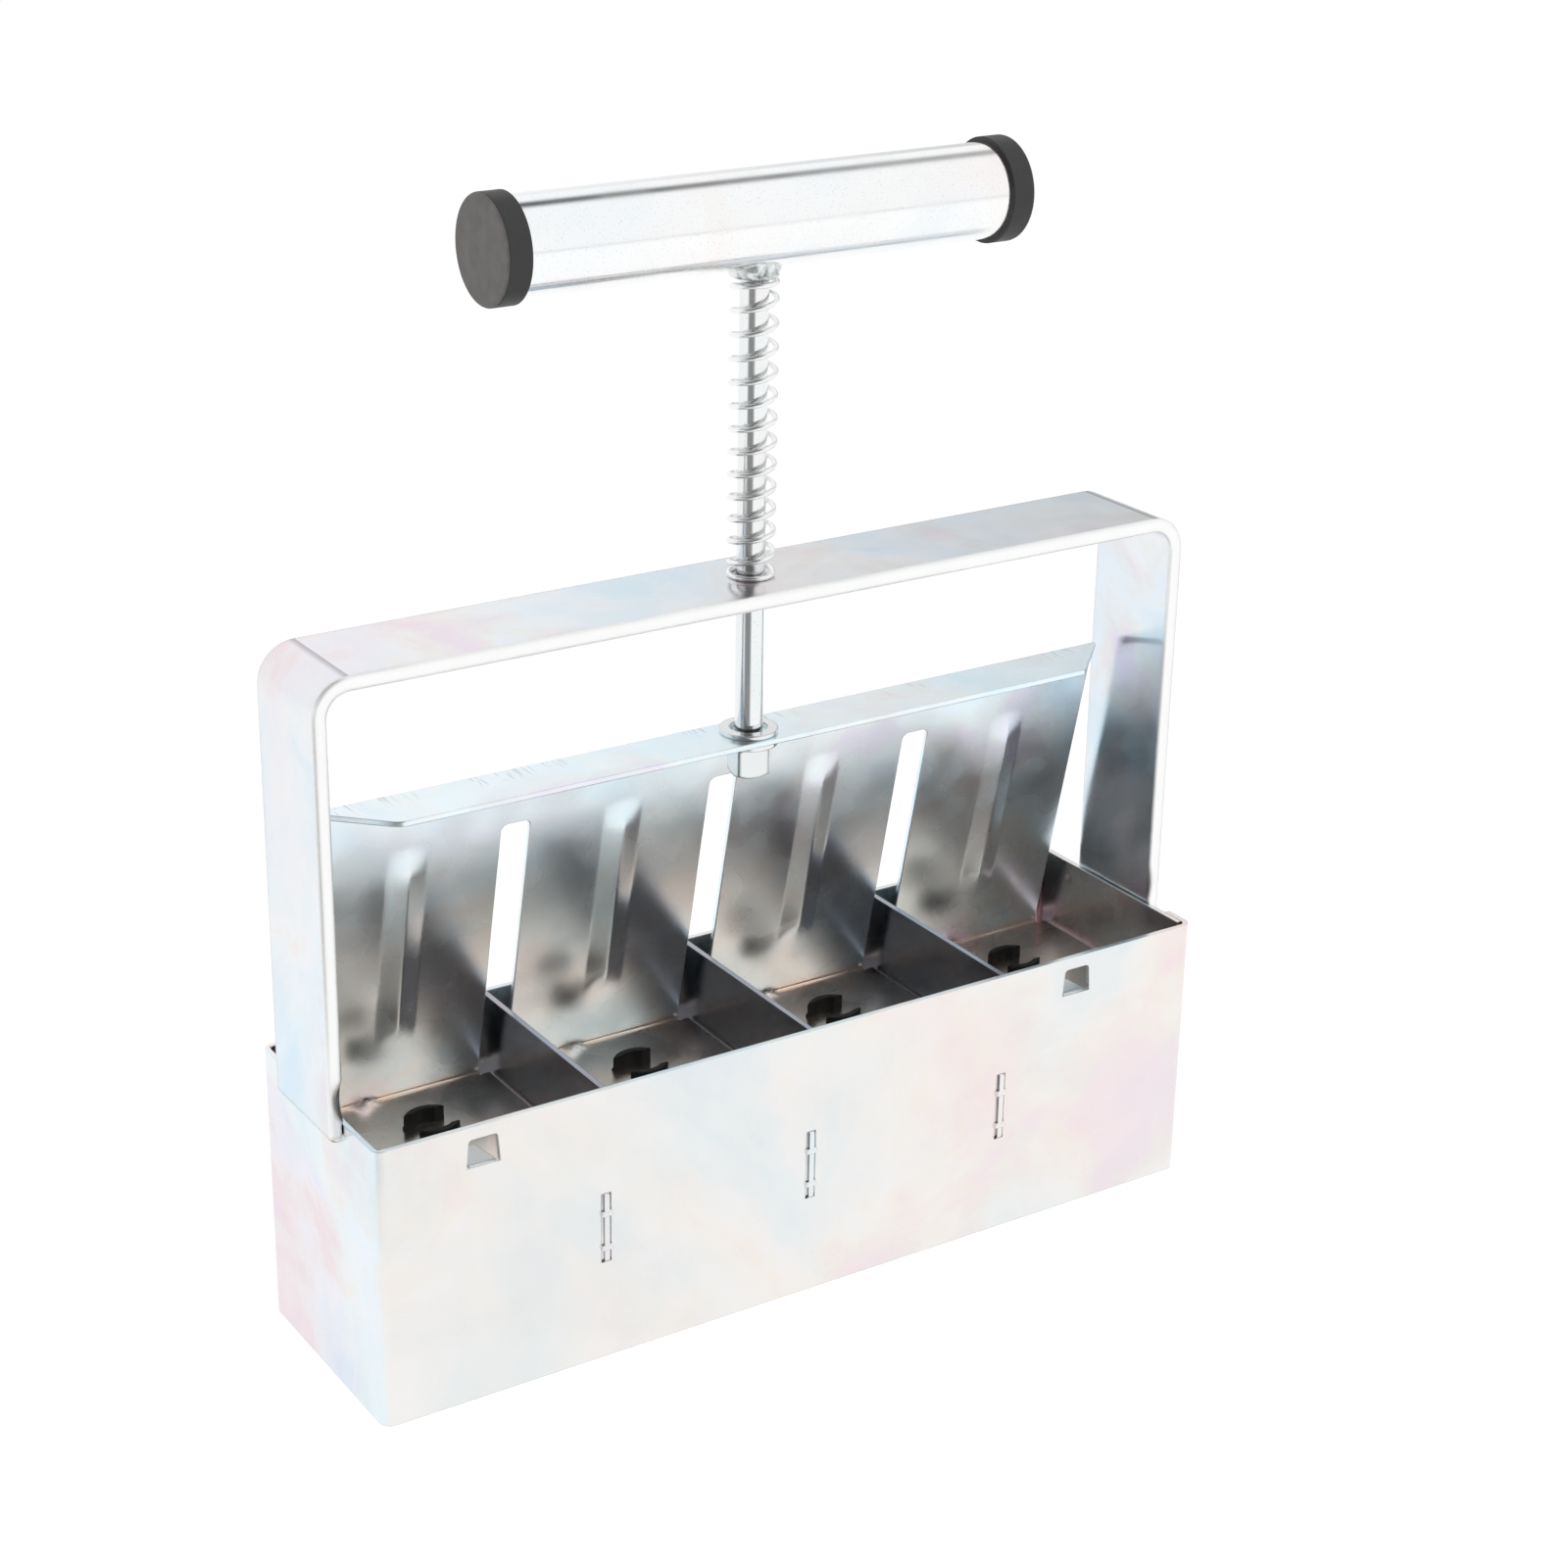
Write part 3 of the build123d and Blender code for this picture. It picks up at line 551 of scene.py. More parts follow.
def buildSpring():
    lowest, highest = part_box("return_spring")
    wireRadius = spring["wire"] / 2 * mm
    radius = (highest[0] - lowest[0]) / 2 - wireRadius
    low, high = lowest[2] + wireRadius, highest[2] - wireRadius
    perTurn, sides = spring["stepsPerTurn"], spring["sides"]
    steps = spring["turns"] * perTurn
    heights = [0.0]
    for step in range(steps):
        heights.append(heights[-1] + springPitch((step + 0.5) / perTurn))
    scale = (high - low) / heights[-1]
    turned = [2 * math.pi * side / sides for side in range(sides)]
    rings, shares = [], []
    for step in range(steps + 1):
        angle = math.pi / 2 + 2 * math.pi * step / perTurn
        centre = Vector((radius * math.cos(angle), radius * math.sin(angle), low + heights[step] * scale))
        rise = springPitch(step / perTurn) * scale * perTurn / (2 * math.pi)
        along = Vector((-radius * math.sin(angle), radius * math.cos(angle), rise)).normalized()
        outward = Vector((math.cos(angle), math.sin(angle), 0))
        upward = along.cross(outward)
        ring = [centre + outward * (wireRadius * math.cos(a)) + upward * (wireRadius * math.sin(a))
                for a in turned]
        placed = [ring]
        if step in (0, steps):
            push = along * (spring["endDome"] * mm * (1 if step else -1))
            domed = [centre.lerp(point, spring["domeWidth"]) + push for point in ring]
            placed = [ring, domed] if step else [domed, ring]
        rings += placed
        shares += [(centre.z - low) / (high - low)] * (sides * len(placed))
    piece = meshPiece("springCoil", *loft(rings), springWire, None, "spring_steel")
    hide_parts("return_spring")
    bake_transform(piece)


buildSpring()
print("spring built")


# weld collar between the rod and the handle tube, in millimetres
collar = {"topRadius": 5.5, "lowRadius": 4.3, "rodRadius": 2.95, "tubeRadius": 9.9, "around": 72, "down": 12,
          "taper": 1.6, "lumps": 0.30, "sink": 0.25, "lift": 0.1, "underInset": 0.45, "underDrop": 0.12,
          "underLumps": 0.3, "lumpWidth": 1.6, "lumpHeight": 1.8, "coarse": 1.1, "fine": 2.6,
          "fineShare": 0.5, "fineSeed": (7, 3, 1)}


def collarBulge(angle, share):
    seed = Vector((math.cos(angle) * collar["lumpWidth"], math.sin(angle) * collar["lumpWidth"],
                   share * collar["lumpHeight"]))
    fine = noise.noise(seed * collar["fine"] + Vector(collar["fineSeed"]))
    return (noise.noise(seed * collar["coarse"]) + collar["fineShare"] * fine) * collar["lumps"]


def buildCollar():
    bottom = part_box("rod_weld")[0][2] + collar["lift"] * mm
    tubeLow, tubeHigh = (corner[2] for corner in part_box("handle_tube"))
    axisHeight = (tubeHigh + tubeLow) / 2
    # rows down the outside, each with its share of the way, then two rings in to the rod underneath
    rows = [(row / collar["down"], None) for row in range(collar["down"] + 1)]
    rows += [(1, collar["lowRadius"] - collar["underInset"]), (1, collar["rodRadius"])]
    rings = []
    for share, underRadius in rows:
        ring = []
        for i in range(collar["around"]):
            angle = 2 * math.pi * i / collar["around"]
            if underRadius:
                radius = underRadius
                z = bottom - collar["underDrop"] * mm
                bulge = collarBulge(angle, share) * collar["underLumps"]
            else:
                radius = collar["topRadius"]
                radius += (collar["lowRadius"] - collar["topRadius"]) * share ** collar["taper"]
                drop = math.sqrt(collar["tubeRadius"] ** 2 - (radius * math.sin(angle)) ** 2)
                top = axisHeight - (drop - collar["sink"]) * mm
                z = top + (bottom - top) * math.sin(share * math.pi / 2)
                bulge = collarBulge(angle, share)
            radius += bulge
            ring.append(Vector((radius * math.cos(angle) * mm, radius * math.sin(angle) * mm, z)))
        rings.append(ring)
    piece = meshPiece("rodWeldCollar", *loft(rings, capped=False), rodWeld, "plunger", "zinc_weld")
    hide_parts("rod_weld")


buildCollar()


# rippled weld bead under each foot of the bridge, in millimetres
bead = {"length": 23.6, "leg": 2.1, "fullness": 0.86, "ripple": 0.14, "ripplePitch": 1.7, "lumps": 0.22,
        "lumpPitch": 0.45, "lumpSeed": (5.0, 0.3), "sections": 90, "steps": 8, "endRound": 1.3,
        "endSwell": 0.25, "swellAt": 1.6, "swellWidth": 1.4, "thinnest": 0.05, "flat": 0.92, "puff": 0.12,
        "seat": 0.15}


def beadSize(y, side):
    # how far the bead stands out at y: swollen near its ends and closed over them
    fromEnd = bead["length"] / 2 - abs(y)
    close = math.sqrt(max(0.0, 1 - max(0.0, 1 - fromEnd / bead["endRound"]) ** 2))
    swell = 1 + bead["endSwell"] * math.exp(-((fromEnd - bead["swellAt"]) / bead["swellWidth"]) ** 2)
    wave = bead["ripple"] * abs(math.sin(math.pi * y / bead["ripplePitch"]))
    seedY, seedZ = bead["lumpSeed"]
    lump = bead["lumps"] * noise.noise(Vector((y * bead["lumpPitch"], side * seedY, seedZ)))
    return (bead["leg"] * swell * bead["fullness"] + wave + lump) * max(close, bead["thinnest"])


def buildBead(name, nodeName, side):
    lowest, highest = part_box(nodeName)
    wallX = (lowest[0] if side > 0 else -highest[0]) - bead["seat"] * mm
    footZ = highest[2] + bead["seat"] * mm
    rings = []
    for i in range(bead["sections"] + 1):
        y = (i / bead["sections"] - 0.5) * bead["length"]
        size = beadSize(y, side)
        ring = []
        for step in range(bead["steps"] + 1):
            turn = math.pi / 2 * step / bead["steps"]
            out = size * (bead["flat"] + bead["puff"] * math.sin(2 * turn)) * mm
            ring.append(Vector((side * (wallX + out * math.sin(turn)), y * mm, footZ - out * math.cos(turn))))
        ring.append(Vector((side * wallX, y * mm, footZ)))
        rings.append(ring)
    piece = meshPiece(name, *loft(rings), footWeld, "frame", "zinc_weld")
    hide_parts(nodeName)


buildBead("footBeadLeft", "bridge_weld_left", -1)
buildBead("footBeadRight", "bridge_weld_right", 1)
print("welds built")


# ejector: one sheet, worked out flat, cut, then bent up with its ribs and corner dimples, in millimetres.
# "along" runs over the sheet from the plates' front edge, up the back and forward over the flange
ejector = {"sheet": 1.2, "bend": 0.6, "cellPitch": 50.6, "cells": 4, "plateWidth": 48.2, "fingerWidth": 43.85,
           "creaseY": 22.7, "flangeBack": 7.9, "flangeFront": 6.8, "slotBelow": 13.4, "slotRound": 1.6,
           "flangeRun": 13.2, "flangeRounds": (4.0, 1.0), "plateCorner": 1.5, "relief": 0.4,
           "pinHoleX": 1.2, "pinHoleY": 4.0, "pinHoleRadius": 6.1, "pinHoleFlat": 4.8, "studHole": 2.2,
           "ribX": 0.6, "ribWidth": 9.2, "ribCrest": 4.8, "ribHeight": 1.0, "ribLow": 12.6, "ribTop": 13.6,
           "ribEnd": 7.5, "ribSoft": 0.25, "dimpleX": -5.2, "dimpleWidth": 1.8, "dimpleReach": 1.5,
           "dimpleDepth": 1.1, "bow": 0.10, "bowPitch": (0.035, 0.045), "bowSeed": 3.7, "bowCalm": 12,
           "rimRound": 0.16}
# the mesh: the distances between its lines, and how far each finer zone reaches
meshing = {"grid": 1.7, "margin": 3, "firstAlong": 0.7, "dimpleGrid": 0.7, "dimpleZone": 4, "bendGrid": 0.3,
           "bendZone": 1, "rimGrid": 0.9, "rimBendZone": (0.9, 0.6), "rimShortest": 0.12,
           "rimClearSquare": 0.3, "ribEndGrid": 0.75, "ribEndZone": 0.5, "ribZone": 0.9, "sharpAngle": 32,
           "ribLines": (-0.5, -0.1, 0.3, 1.2, 2.1, 3.0, 3.9, 4.5, 4.8, 5.1, 5.7, 6.6, 7.5, 8.4, 8.9, 9.3,
                        9.7)}


def sheetLine():
    # the middle line of the sheet seen from the side: straight runs and arcs, each with the length before it
    lowest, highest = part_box("ejector")
    half = ejector["sheet"] / 2
    plateTop, flangeTop = lowest[2] / mm + ejector["sheet"], highest[2] / mm
    rise, run = flangeTop - plateTop, ejector["creaseY"] - ejector["flangeBack"]
    lean = math.atan2(run, rise) + math.asin(ejector["sheet"] / math.hypot(run, rise))
    low, high = plateTop - half, flangeTop - half
    corners = [(lowest[1] / mm, low), (0, low), (0, high), (-ejector["flangeFront"], high)]
    for i in (1, 2):
        backY = ejector["creaseY"] - (corners[i][1] - plateTop) * math.tan(lean) + half / math.cos(lean)
        corners[i] = (backY, corners[i][1])
    corners = [Vector(corner) for corner in corners]
    radius = ejector["bend"] + half
    runs, start, done = [], corners[0], 0.0
    for i in (1, 2):
        before = (corners[i] - corners[i - 1]).normalized()
        after = (corners[i + 1] - corners[i]).normalized()
        turn = before.angle(after)
        cut = radius * math.tan(turn / 2)
        end = corners[i] - before * cut
        runs.append(("line", done, (end - start).length, start, before))
        done += runs[-1][2]
        runs.append(("arc", done, radius * turn, end, before))
        done += runs[-1][2]
        start = corners[i] + after * cut
    last = corners[3] - start
    runs.append(("line", done, last.length, start, last.normalized()))
    return runs, radius, plateTop, flangeTop, lean


def onSheet(runs, radius, along):
    # the place on the middle line, and the way the front of the sheet faces there
    found = [run for run in runs if along >= run[1]] or runs[:1]
    kind, begin, length, start, direction = found[-1]
    part = along - begin
    facing = Vector((-direction.y, direction.x))
    if kind == "line":
        return start + direction * part, facing
    angle = part / radius
    place = start + direction * (radius * math.sin(angle)) + facing * (radius * (1 - math.cos(angle)))
    return place, facing * math.cos(angle) - direction * math.sin(angle)


def arc(centreX, centreV, radius, begin, end, count):
    turned = [math.radians(begin + (end - begin) * i / count) for i in range(count + 1)]
    return [(centreX + radius * math.cos(a), centreV + radius * math.sin(a)) for a in turned]


def sheetLoops(runs, marks):
    # the outline of the flat sheet and its holes, as (across, along)
    e = ejector
    frontY = runs[0][3].x
    notch = e["creaseY"] - e["bend"] - e["relief"] - frontY
    flangeLine = runs[4][1] + runs[4][3].x
    total = runs[4][1] + runs[4][2]
    corner, slotRound = e["plateCorner"], e["slotRound"]
    slotMiddle = marks["slotTop"] - slotRound
    halfPlate, halfFinger = e["plateWidth"] / 2, e["fingerWidth"] / 2
    endX = marks["centres"][-1] + halfFinger
    outline = []
    for c in marks["centres"]:
        left, right = c - halfFinger, c + halfFinger
        outline += arc(left, notch, e["relief"], 90, -180, 9) + [(c - halfPlate, notch)]
        outline += arc(c - halfPlate + corner, corner, corner, 180, 270, 6)
        outline += arc(c + halfPlate - corner, corner, corner, -90, 0, 6)
        outline += [(c + halfPlate, notch)] + arc(right, notch, e["relief"], 0, -270, 9)
        if c < marks["centres"][-1]:
            nextLeft = left + e["cellPitch"]
            outline += arc(right + slotRound, slotMiddle, slotRound, 180, 90, 6)
            outline += arc(nextLeft - slotRound, slotMiddle, slotRound, 90, 0, 6)
    taperStart = flangeLine - (e["flangeBack"] - e["sheet"] - e["bend"])
    slant = math.atan2(total - taperStart, e["flangeRun"])
    turn = math.degrees(slant)
    leftRound, rightRound = e["flangeRounds"]
    outline.append((endX, taperStart))
    for side, roundness, begin, end in ((1, rightRound, 90 - turn, 90), (-1, leftRound, 90, 90 + turn)):
        middleX = side * (endX - e["flangeRun"] - roundness * math.tan(slant / 2))
        outline += arc(middleX, total - roundness, roundness, begin, end, 6)
    outline.append((-endX, taperStart))
    holes = [arc(0, flangeLine, e["studHole"], 0, 345, 23)]
    flat = math.degrees(math.acos(e["pinHoleFlat"] / e["pinHoleRadius"]))
    for c in marks["centres"]:
        spot = (c + e["pinHoleX"], e["pinHoleY"] - frontY, e["pinHoleRadius"])
        holes.append(arc(*spot, flat, 180 - flat, 12) + arc(*spot, 180 + flat, 360 - flat, 12))
    return [outline] + holes, endX, total


def finely(loop, bends):
    # more points along the long edges, close together inside the bends
    before, after = meshing["rimBendZone"]
    result = []
    for i, (x, v) in enumerate(loop):
        nextX, nextV = loop[(i + 1) % len(loop)]
        length = math.hypot(nextX - x, nextV - v)
        at = 0.0
        while at < length - meshing["rimShortest"]:
            hereV = v + (nextV - v) * at / length
            result.append((x + (nextX - x) * at / length, hereV))
            bent = any(begin - before < hereV < begin + span + after for begin, span in bends)
            at += meshing["bendGrid"] if bent else meshing["rimGrid"]
    return result


def lines(low, high, spans):
    # grid lines from low to high, at each span's own step
    result, at = [], low
    while at < high:
        result.append(at)
        at += min([step for begin, end, step in spans if begin <= at <= end], default=meshing["grid"])
    return result


def gridPoints(marks, bends, loops, endX, total):
    # the points inside the sheet: a grid, finer at ribs, dimples and bends, and clear of the border
    e, m = ejector, meshing
    ribLefts = [c + e["ribX"] - e["ribWidth"] / 2 for c in marks["centres"]]
    dimples = [(c + e["dimpleX"] - m["dimpleZone"], c + e["dimpleX"] + m["dimpleZone"], m["dimpleGrid"])
               for c in marks["centres"]]
    across = [x for x in lines(-endX - m["margin"], endX + m["margin"], dimples)
              if not any(left - m["ribZone"] < x < left + e["ribWidth"] + m["ribZone"] for left in ribLefts)]
    across += [left + offset for left in ribLefts for offset in m["ribLines"]]
    spans = [(begin - m["bendZone"], begin + length + m["bendZone"], m["bendGrid"])
             for begin, length in bends]
    spans += [(edge - m["ribEndZone"], edge + e["ribEnd"] + m["ribEndZone"], m["ribEndGrid"])
              for edge in (marks["ribLow"], marks["ribHigh"] - e["ribEnd"])]
    along = lines(m["firstAlong"], total, spans)

    near = {}
    for loop in loops:
        for x, v in loop:
            near.setdefault((math.floor(x), math.floor(v)), []).append((x, v))

    def atBorder(x, v):
        cells = [(math.floor(x) + i, math.floor(v) + j) for i in (-1, 0, 1) for j in (-1, 0, 1)]
        rim = [place for cell in cells for place in near.get(cell, ())]
        return any((a - x) ** 2 + (b - v) ** 2 < m["rimClearSquare"] for a, b in rim)

    return [Vector((x, v)) for x in across for v in along if not atBorder(x, v)]


def flatSheet(loops, inner):
    # the flat sheet in triangles, and for each place on its rim the way out of the sheet
    points, edges = [], []
    for loop in loops:
        begin = len(points)
        points += [Vector(point) for point in loop]
        edges += [(begin + i, begin + (i + 1) % len(loop)) for i in range(len(loop))]
    insideWithoutHoles, tolerance = 2, 1e-5
    flat, _, triangles, *_ = delaunay_2d_cdt(points + inner, edges, [], insideWithoutHoles, tolerance)
    sides = {(a, b) for t in triangles for a, b in zip(t, (*t[1:], t[0]))}
    rims = [(a, b) for a, b in sides if (b, a) not in sides]
    outward = {}
    for a, b in rims:
        step = flat[b] - flat[a]
        normal = Vector((step.y, -step.x)).normalized()
        for end in (a, b):
            outward[end] = outward.get(end, Vector((0, 0))) + normal
    return flat, triangles, sorted(rims), outward


def ribLift(x):
    # a ridge with straight flanks, its crest and feet a little softened by taking the mean of seven places
    width, crest = ejector["ribWidth"], ejector["ribCrest"]
    total = 0.0
    for k in range(-3, 4):
        t = x + ejector["ribSoft"] * k / 3
        if 0 < t < width:
            total += min(t / crest, (width - t) / (width - crest))
    return ejector["ribHeight"] * total / 7


def sheetLift(x, v, marks, bends):
    # how far ribs, dimples and a faint bow raise the sheet towards its front
    e = ejector
    (lowBend, lowLength), (highBend, _) = bends
    c = min(marks["centres"], key=lambda centre: abs(centre - x))
    height = 0.0
    if marks["ribLow"] < v < marks["ribHigh"]:
        end = min(1.0, (v - marks["ribLow"]) / e["ribEnd"], (marks["ribHigh"] - v) / e["ribEnd"])
        height += end * end * (3 - 2 * end) * ribLift(x - c - e["ribX"] + e["ribWidth"] / 2)
    middle = lowBend + lowLength / 2
    away = ((x - c - e["dimpleX"]) / e["dimpleWidth"]) ** 2 + ((v - middle) / e["dimpleReach"]) ** 2
    height += e["dimpleDepth"] * math.exp(-away)
    calm = min(1.0, max(0.0, v - lowBend - lowLength) / e["bowCalm"], max(0.0, highBend - v) / e["bowCalm"])
    pitchX, pitchV = e["bowPitch"]
    return height + e["bow"] * calm * noise.noise(Vector((x * pitchX, v * pitchV, e["bowSeed"])))


def buildEjector():
    e = ejector
    runs, radius, plateTop, flangeTop, lean = sheetLine()
    bends = [(runs[1][1], runs[1][2]), (runs[3][1], runs[3][2])]
    backZero = runs[2][1] - (runs[2][3].y - plateTop - math.sin(lean) * e["sheet"] / 2) / math.cos(lean)

    def upBack(z):
        return backZero + (z - plateTop) / math.cos(lean)

    marks = {"slotTop": upBack(flangeTop - e["slotBelow"]), "ribLow": upBack(plateTop + e["ribLow"]),
             "ribHigh": upBack(flangeTop - e["ribTop"]),
             "centres": [(i - (e["cells"] - 1) / 2) * e["cellPitch"] for i in range(e["cells"])]}
    loops, endX, total = sheetLoops(runs, marks)
    loops = [finely(loop, bends) for loop in loops]
    inner = gridPoints(marks, bends, loops, endX, total)
    flat, triangles, rims, outward = flatSheet(loops, inner)

    def placed(x, v, depth):
        line, facing = onSheet(runs, radius, v)
        at = line + facing * (depth + sheetLift(x, v, marks, bends))
        return Vector((x, at.x, at.y)) * mm

    # front and back stop short of the rim, which is two chamfers with a level strip between them
    half, chamfer = e["sheet"] / 2, e["rimRound"]
    front, back = [], []
    for i, place in enumerate(flat):
        spot = place - outward[i].normalized() * chamfer if i in outward else place
        front.append(placed(spot.x, spot.y, half))
        back.append(placed(spot.x, spot.y, -half))
    count = len(flat)
    rimIndex = {i: 2 * (count + k) for k, i in enumerate(sorted(outward))}
    rimPoints = [placed(flat[i].x, flat[i].y, depth) for i in sorted(outward)
                 for depth in (half - chamfer, chamfer - half)]
    faces = [tuple(t) for t in triangles] + [(c + count, b + count, a + count) for a, b, c in triangles]
    for a, b in rims:
        frontA, frontB = rimIndex[a], rimIndex[b]
        faces += [(b, a, frontA, frontB), (frontB, frontA, frontA + 1, frontB + 1),
                  (frontB + 1, frontA + 1, a + count, b + count)]
    piece = meshPiece("ejectorSheet", front + back + rimPoints, faces, zincEjector, "plunger", "zinc_sheet")
    piece.data.set_sharp_from_angle(angle=math.radians(meshing["sharpAngle"]))
    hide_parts("ejector")


buildEjector()
print("ejector built")


# camera: angles in degrees, its place in millimetres, focal length and centre in pixels of the photograph
view = {"yaw": -31.59, "pitch": 21.50, "roll": 0.267, "place": (-316.73, -489.15, 347.81), "focal": 3031.28,
        "centre": (697.99, 760.33), "imageSize": 1600, "sensor": 36, "nearest": 0.01}


def buildCamera():
    yaw, pitch, roll = (math.radians(view[key]) for key in ("yaw", "pitch", "roll"))
    back = Vector((math.sin(yaw) * math.cos(pitch), -math.cos(yaw) * math.cos(pitch), math.sin(pitch)))
    level = Vector((0, 0, 1)).cross(back).normalized()
    upright = back.cross(level)
    right = math.cos(roll) * level + math.sin(roll) * upright
    up = -math.sin(roll) * level + math.cos(roll) * upright
    camera = bpy.data.objects.new("camera", bpy.data.cameras.new("camera"))
    bpy.context.scene.collection.objects.link(camera)
    turned = Matrix((right, up, back)).transposed().to_4x4()
    turned.translation = Vector(view["place"]) * mm
    camera.matrix_world = turned
    camera.data.sensor_width = view["sensor"]
    camera.data.lens = view["focal"] * view["sensor"] / view["imageSize"]
    camera.data.shift_x = 0.5 - view["centre"][0] / view["imageSize"]
    camera.data.shift_y = view["centre"][1] / view["imageSize"] - 0.5
    camera.data.clip_start = view["nearest"]
    bpy.context.scene.camera = camera


# studio: lengths in metres, angles in degrees. A "depth" is how much light is missing there for metal
floorLook = {
    "size": 6.0, "drop": 0.0002, "glow": 0.90, "albedo": 0.16, "plainAlbedo": 0.85,
    "sector": {"bearing": -139.0, "span": (16.0, 34.0), "distance": (0.19, 0.30), "depth": 0.78},
    "farAway": {"y": (-1.3, -1.9), "depth": 0.17},
}
roomLook = {
    "strength": 1.0, "strengthForMatt": 0.62,
    "overhead": {"tilt": 69.5, "span": (1.6, 16.0), "depth": 0.95, "fadeX": (0.44, 0.62), "faded": 0.55},
    "lowRight": {"sideways": (24.0, 46.0), "tilt": (24.0, 34.0), "behind": (0.0, 0.3), "depth": 0.45},
    "darkRoom": {"towards": (-0.4875, -0.566, 0.665), "span": (28.0, 52.0), "depth": 0.865},
}
lamps = {
    "keyLamp": {"place": (-0.7, -0.8, 1.3), "power": 9.0, "size": 0.9},
    "fillLamp": {"place": (1.1, -0.6, 0.9), "power": 4.0, "size": 0.9},
}
lampTarget = (0, 0, 0.1)


def bearingOf(tree, y, x):
    return product(tree, calc(tree, "ARCTAN2", y, x), 180 / math.pi)


def seenDirectly(tree):
    path = addNode(tree, "ShaderNodeLightPath").outputs
    both = calc(tree, "MAXIMUM", path["Is Camera Ray"], path["Is Glossy Ray"])
    return calc(tree, "MAXIMUM", both, path["Is Transmission Ray"])


def dimmedForMetal(tree, strength, dimming):
    glossy = addNode(tree, "ShaderNodeLightPath").outputs["Is Glossy Ray"]
    return calc(tree, "SUBTRACT", strength, product(tree, dimming, glossy))


def floorDimming(tree):
    # metal sees a darker sector of the floor where the photographer stands, and a dimmer strip far in front
    sector, farAway = floorLook["sector"], floorLook["farAway"]
    spot = addNode(tree, "ShaderNodeNewGeometry").outputs["Position"]
    axes = axesOf(tree, spot)
    bearing = bearingOf(tree, axes[1], axes[0])
    aside = calc(tree, "ABSOLUTE", calc(tree, "SUBTRACT", bearing, sector["bearing"]))
    away = addNode(tree, "ShaderNodeVectorMath", {0: spot}, operation="LENGTH").outputs["Value"]
    shade = product(tree, spread(tree, aside, *sector["span"], sector["depth"], 0.0, smooth=True),
                    spread(tree, away, *sector["distance"], smooth=True))
    far = spread(tree, axes[1], *farAway["y"], 0.0, farAway["depth"], smooth=True)
    return calc(tree, "MAXIMUM", shade, far)


def buildFloor():
    half = floorLook["size"] / 2
    mesh = bpy.data.meshes.new("floor")
    corners = [(-half, -half, 0), (half, -half, 0), (half, half, 0), (-half, half, 0)]
    mesh.from_pydata(corners, [], [(0, 1, 2, 3)])
    floor = bpy.data.objects.new("floor", mesh)
    floor.location.z = -floorLook["drop"]
    bpy.context.scene.collection.objects.link(floor)
    material, tree, shader = newMaterial("paleFloor")
    tree.nodes.remove(shader)
    level = dimmedForMetal(tree, floorLook["glow"], floorDimming(tree))
    glow = addNode(tree, "ShaderNodeEmission", {"Color": (1, 1, 1, 1), "Strength": level})
    matt, plain = (addNode(tree, "ShaderNodeBsdfDiffuse", {"Color": (albedo, albedo, albedo, 1)})
                   for albedo in (floorLook["albedo"], floorLook["plainAlbedo"]))
    shown = addNode(tree, "ShaderNodeAddShader", {0: glow.outputs[0], 1: matt.outputs[0]})
    mixed = addNode(tree, "ShaderNodeMixShader",
                    {0: seenDirectly(tree), 1: plain.outputs[0], 2: shown.outputs[0]})
    tree.links.new(mixed.outputs[0], tree.nodes["Material Output"].inputs[0])
    mesh.materials.append(material)


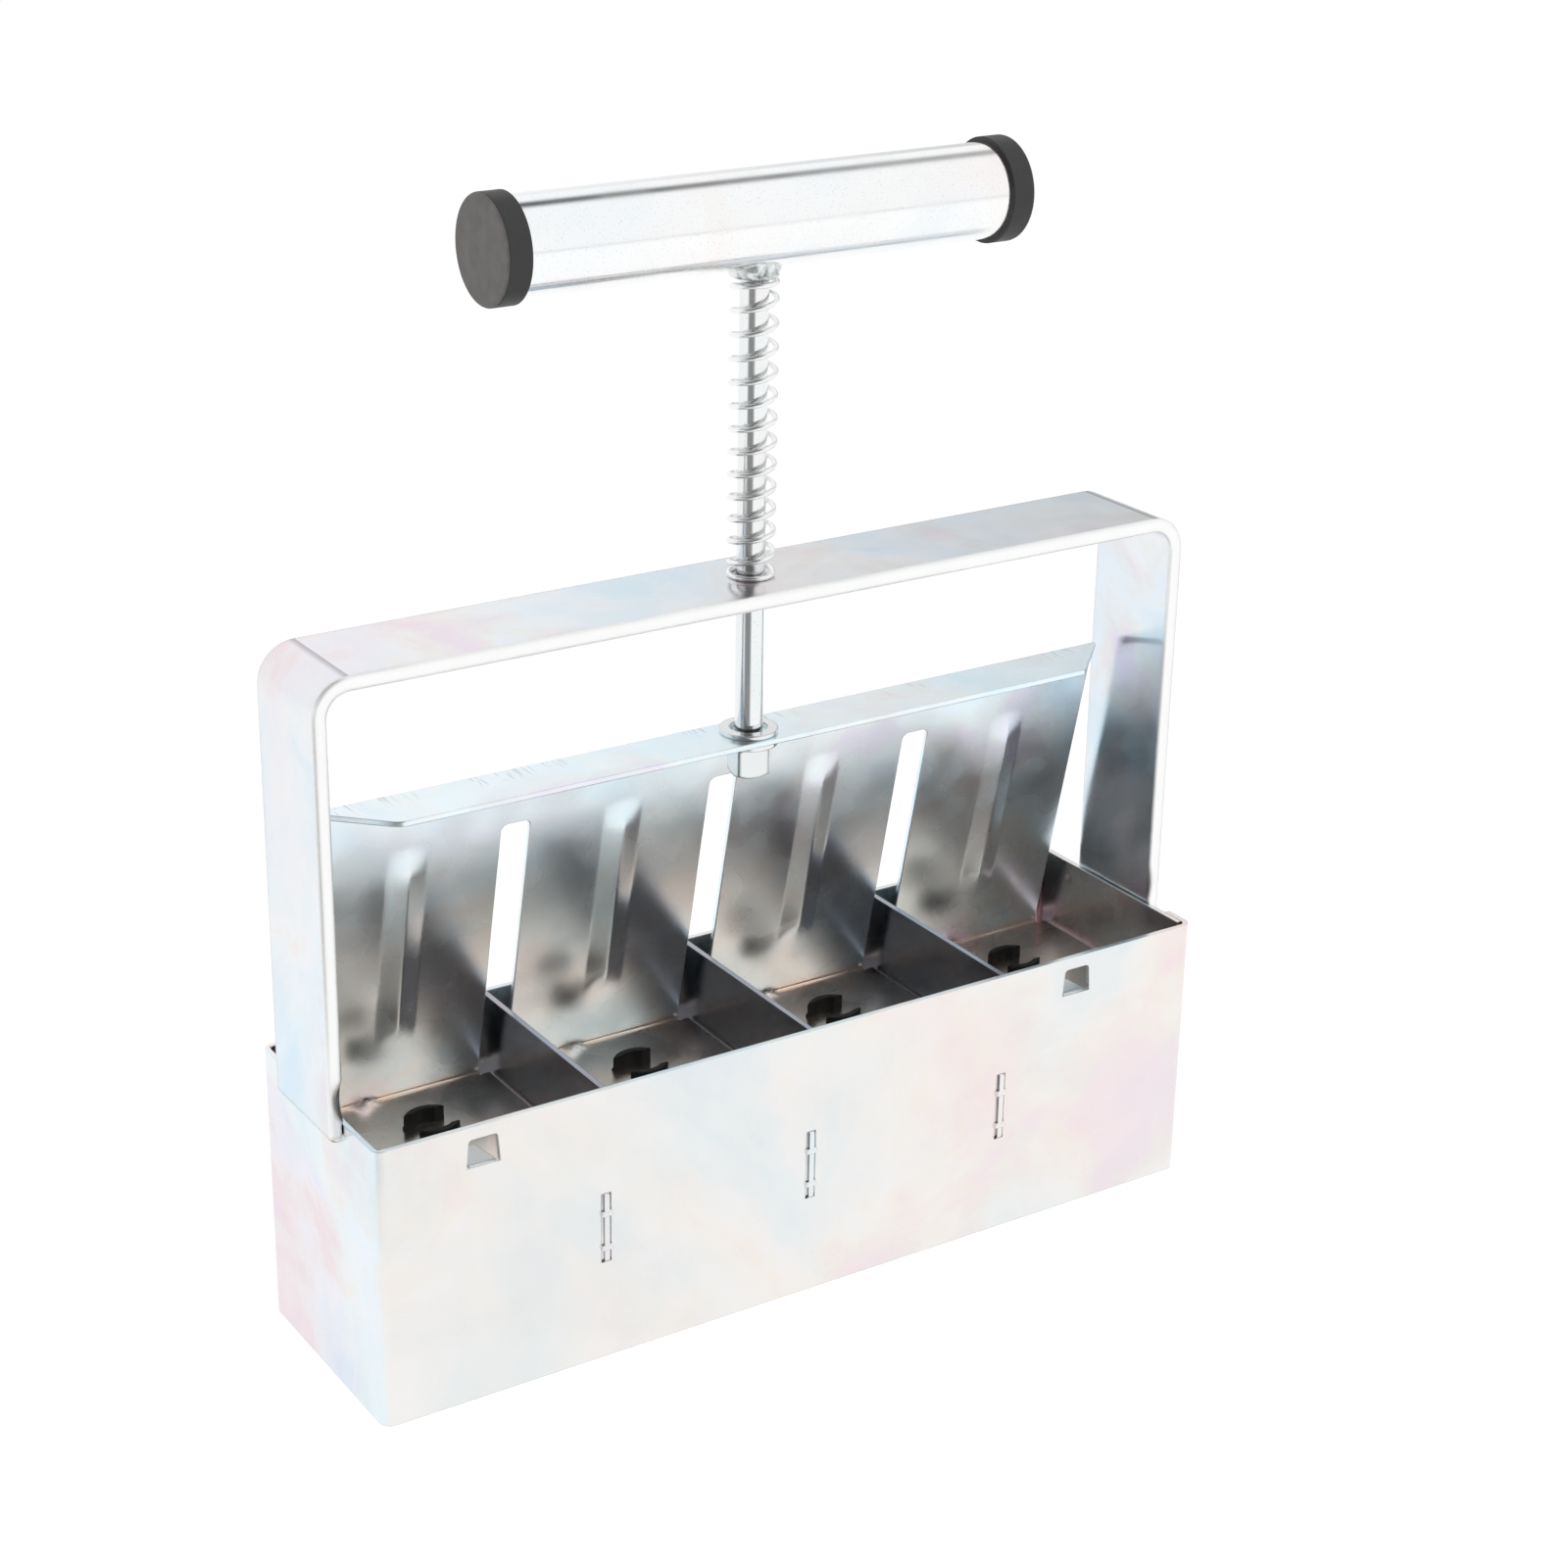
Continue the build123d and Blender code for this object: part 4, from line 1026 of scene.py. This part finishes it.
def roomDimming(tree):
    # metal sees a gap between the soft boxes overhead, a dimmer room low down behind on the right, and
    # the dark room behind the photographer, which the corners of the cells throw back
    overhead, lowRight, darkRoom = roomLook["overhead"], roomLook["lowRight"], roomLook["darkRoom"]
    ray = addNode(tree, "ShaderNodeTexCoord").outputs["Generated"]
    axes = axesOf(tree, ray)
    tilt = bearingOf(tree, axes[2], axes[1])
    apart = calc(tree, "ABSOLUTE", calc(tree, "SUBTRACT", tilt, overhead["tilt"]))
    gap = product(tree, spread(tree, apart, *overhead["span"], overhead["depth"], 0.0, smooth=True),
                  spread(tree, axes[0], *overhead["fadeX"], 1.0, overhead["faded"]))
    sideways = bearingOf(tree, axes[0], axes[1])
    toRight = spread(tree, sideways, *lowRight["sideways"], 0.0, lowRight["depth"], smooth=True)
    lowDown = spread(tree, tilt, *lowRight["tilt"], 1.0, 0.0, smooth=True)
    lowShade = product(tree, toRight, lowDown, spread(tree, axes[1], *lowRight["behind"]))
    towards = Vector(darkRoom["towards"]).normalized()
    room = addNode(tree, "ShaderNodeVectorMath", {0: ray, 1: towards}, operation="DOT_PRODUCT")
    inner, outer = (math.cos(math.radians(angle)) for angle in darkRoom["span"])
    roomShade = spread(tree, room.outputs["Value"], outer, inner, 0.0, darkRoom["depth"], smooth=True)
    return calc(tree, "MAXIMUM", calc(tree, "MAXIMUM", gap, lowShade), roomShade)


def buildRoom():
    world = bpy.data.worlds.new("studio")
    bpy.context.scene.world = world
    world.use_nodes = True
    tree = world.node_tree
    background = tree.nodes["Background"]
    background.inputs[0].default_value = (1, 1, 1, 1)
    strength = spread(tree, seenDirectly(tree), 0.0, 1.0, roomLook["strengthForMatt"], roomLook["strength"])
    tree.links.new(dimmedForMetal(tree, strength, roomDimming(tree)), background.inputs[1])


def buildLamps():
    for name, look in lamps.items():
        lamp = bpy.data.objects.new(name, bpy.data.lights.new(name, "AREA"))
        lamp.data.energy = look["power"]
        lamp.data.size = look["size"]
        lamp.visible_glossy = False
        lamp.location = look["place"]
        aim = Vector(lampTarget) - Vector(look["place"])
        lamp.rotation_euler = aim.to_track_quat("-Z", "Y").to_euler()
        bpy.context.scene.collection.objects.link(lamp)


buildCamera()
buildFloor()
buildRoom()
buildLamps()
bpy.context.scene.view_settings.view_transform = "Standard"
print("camera, floor and light built")
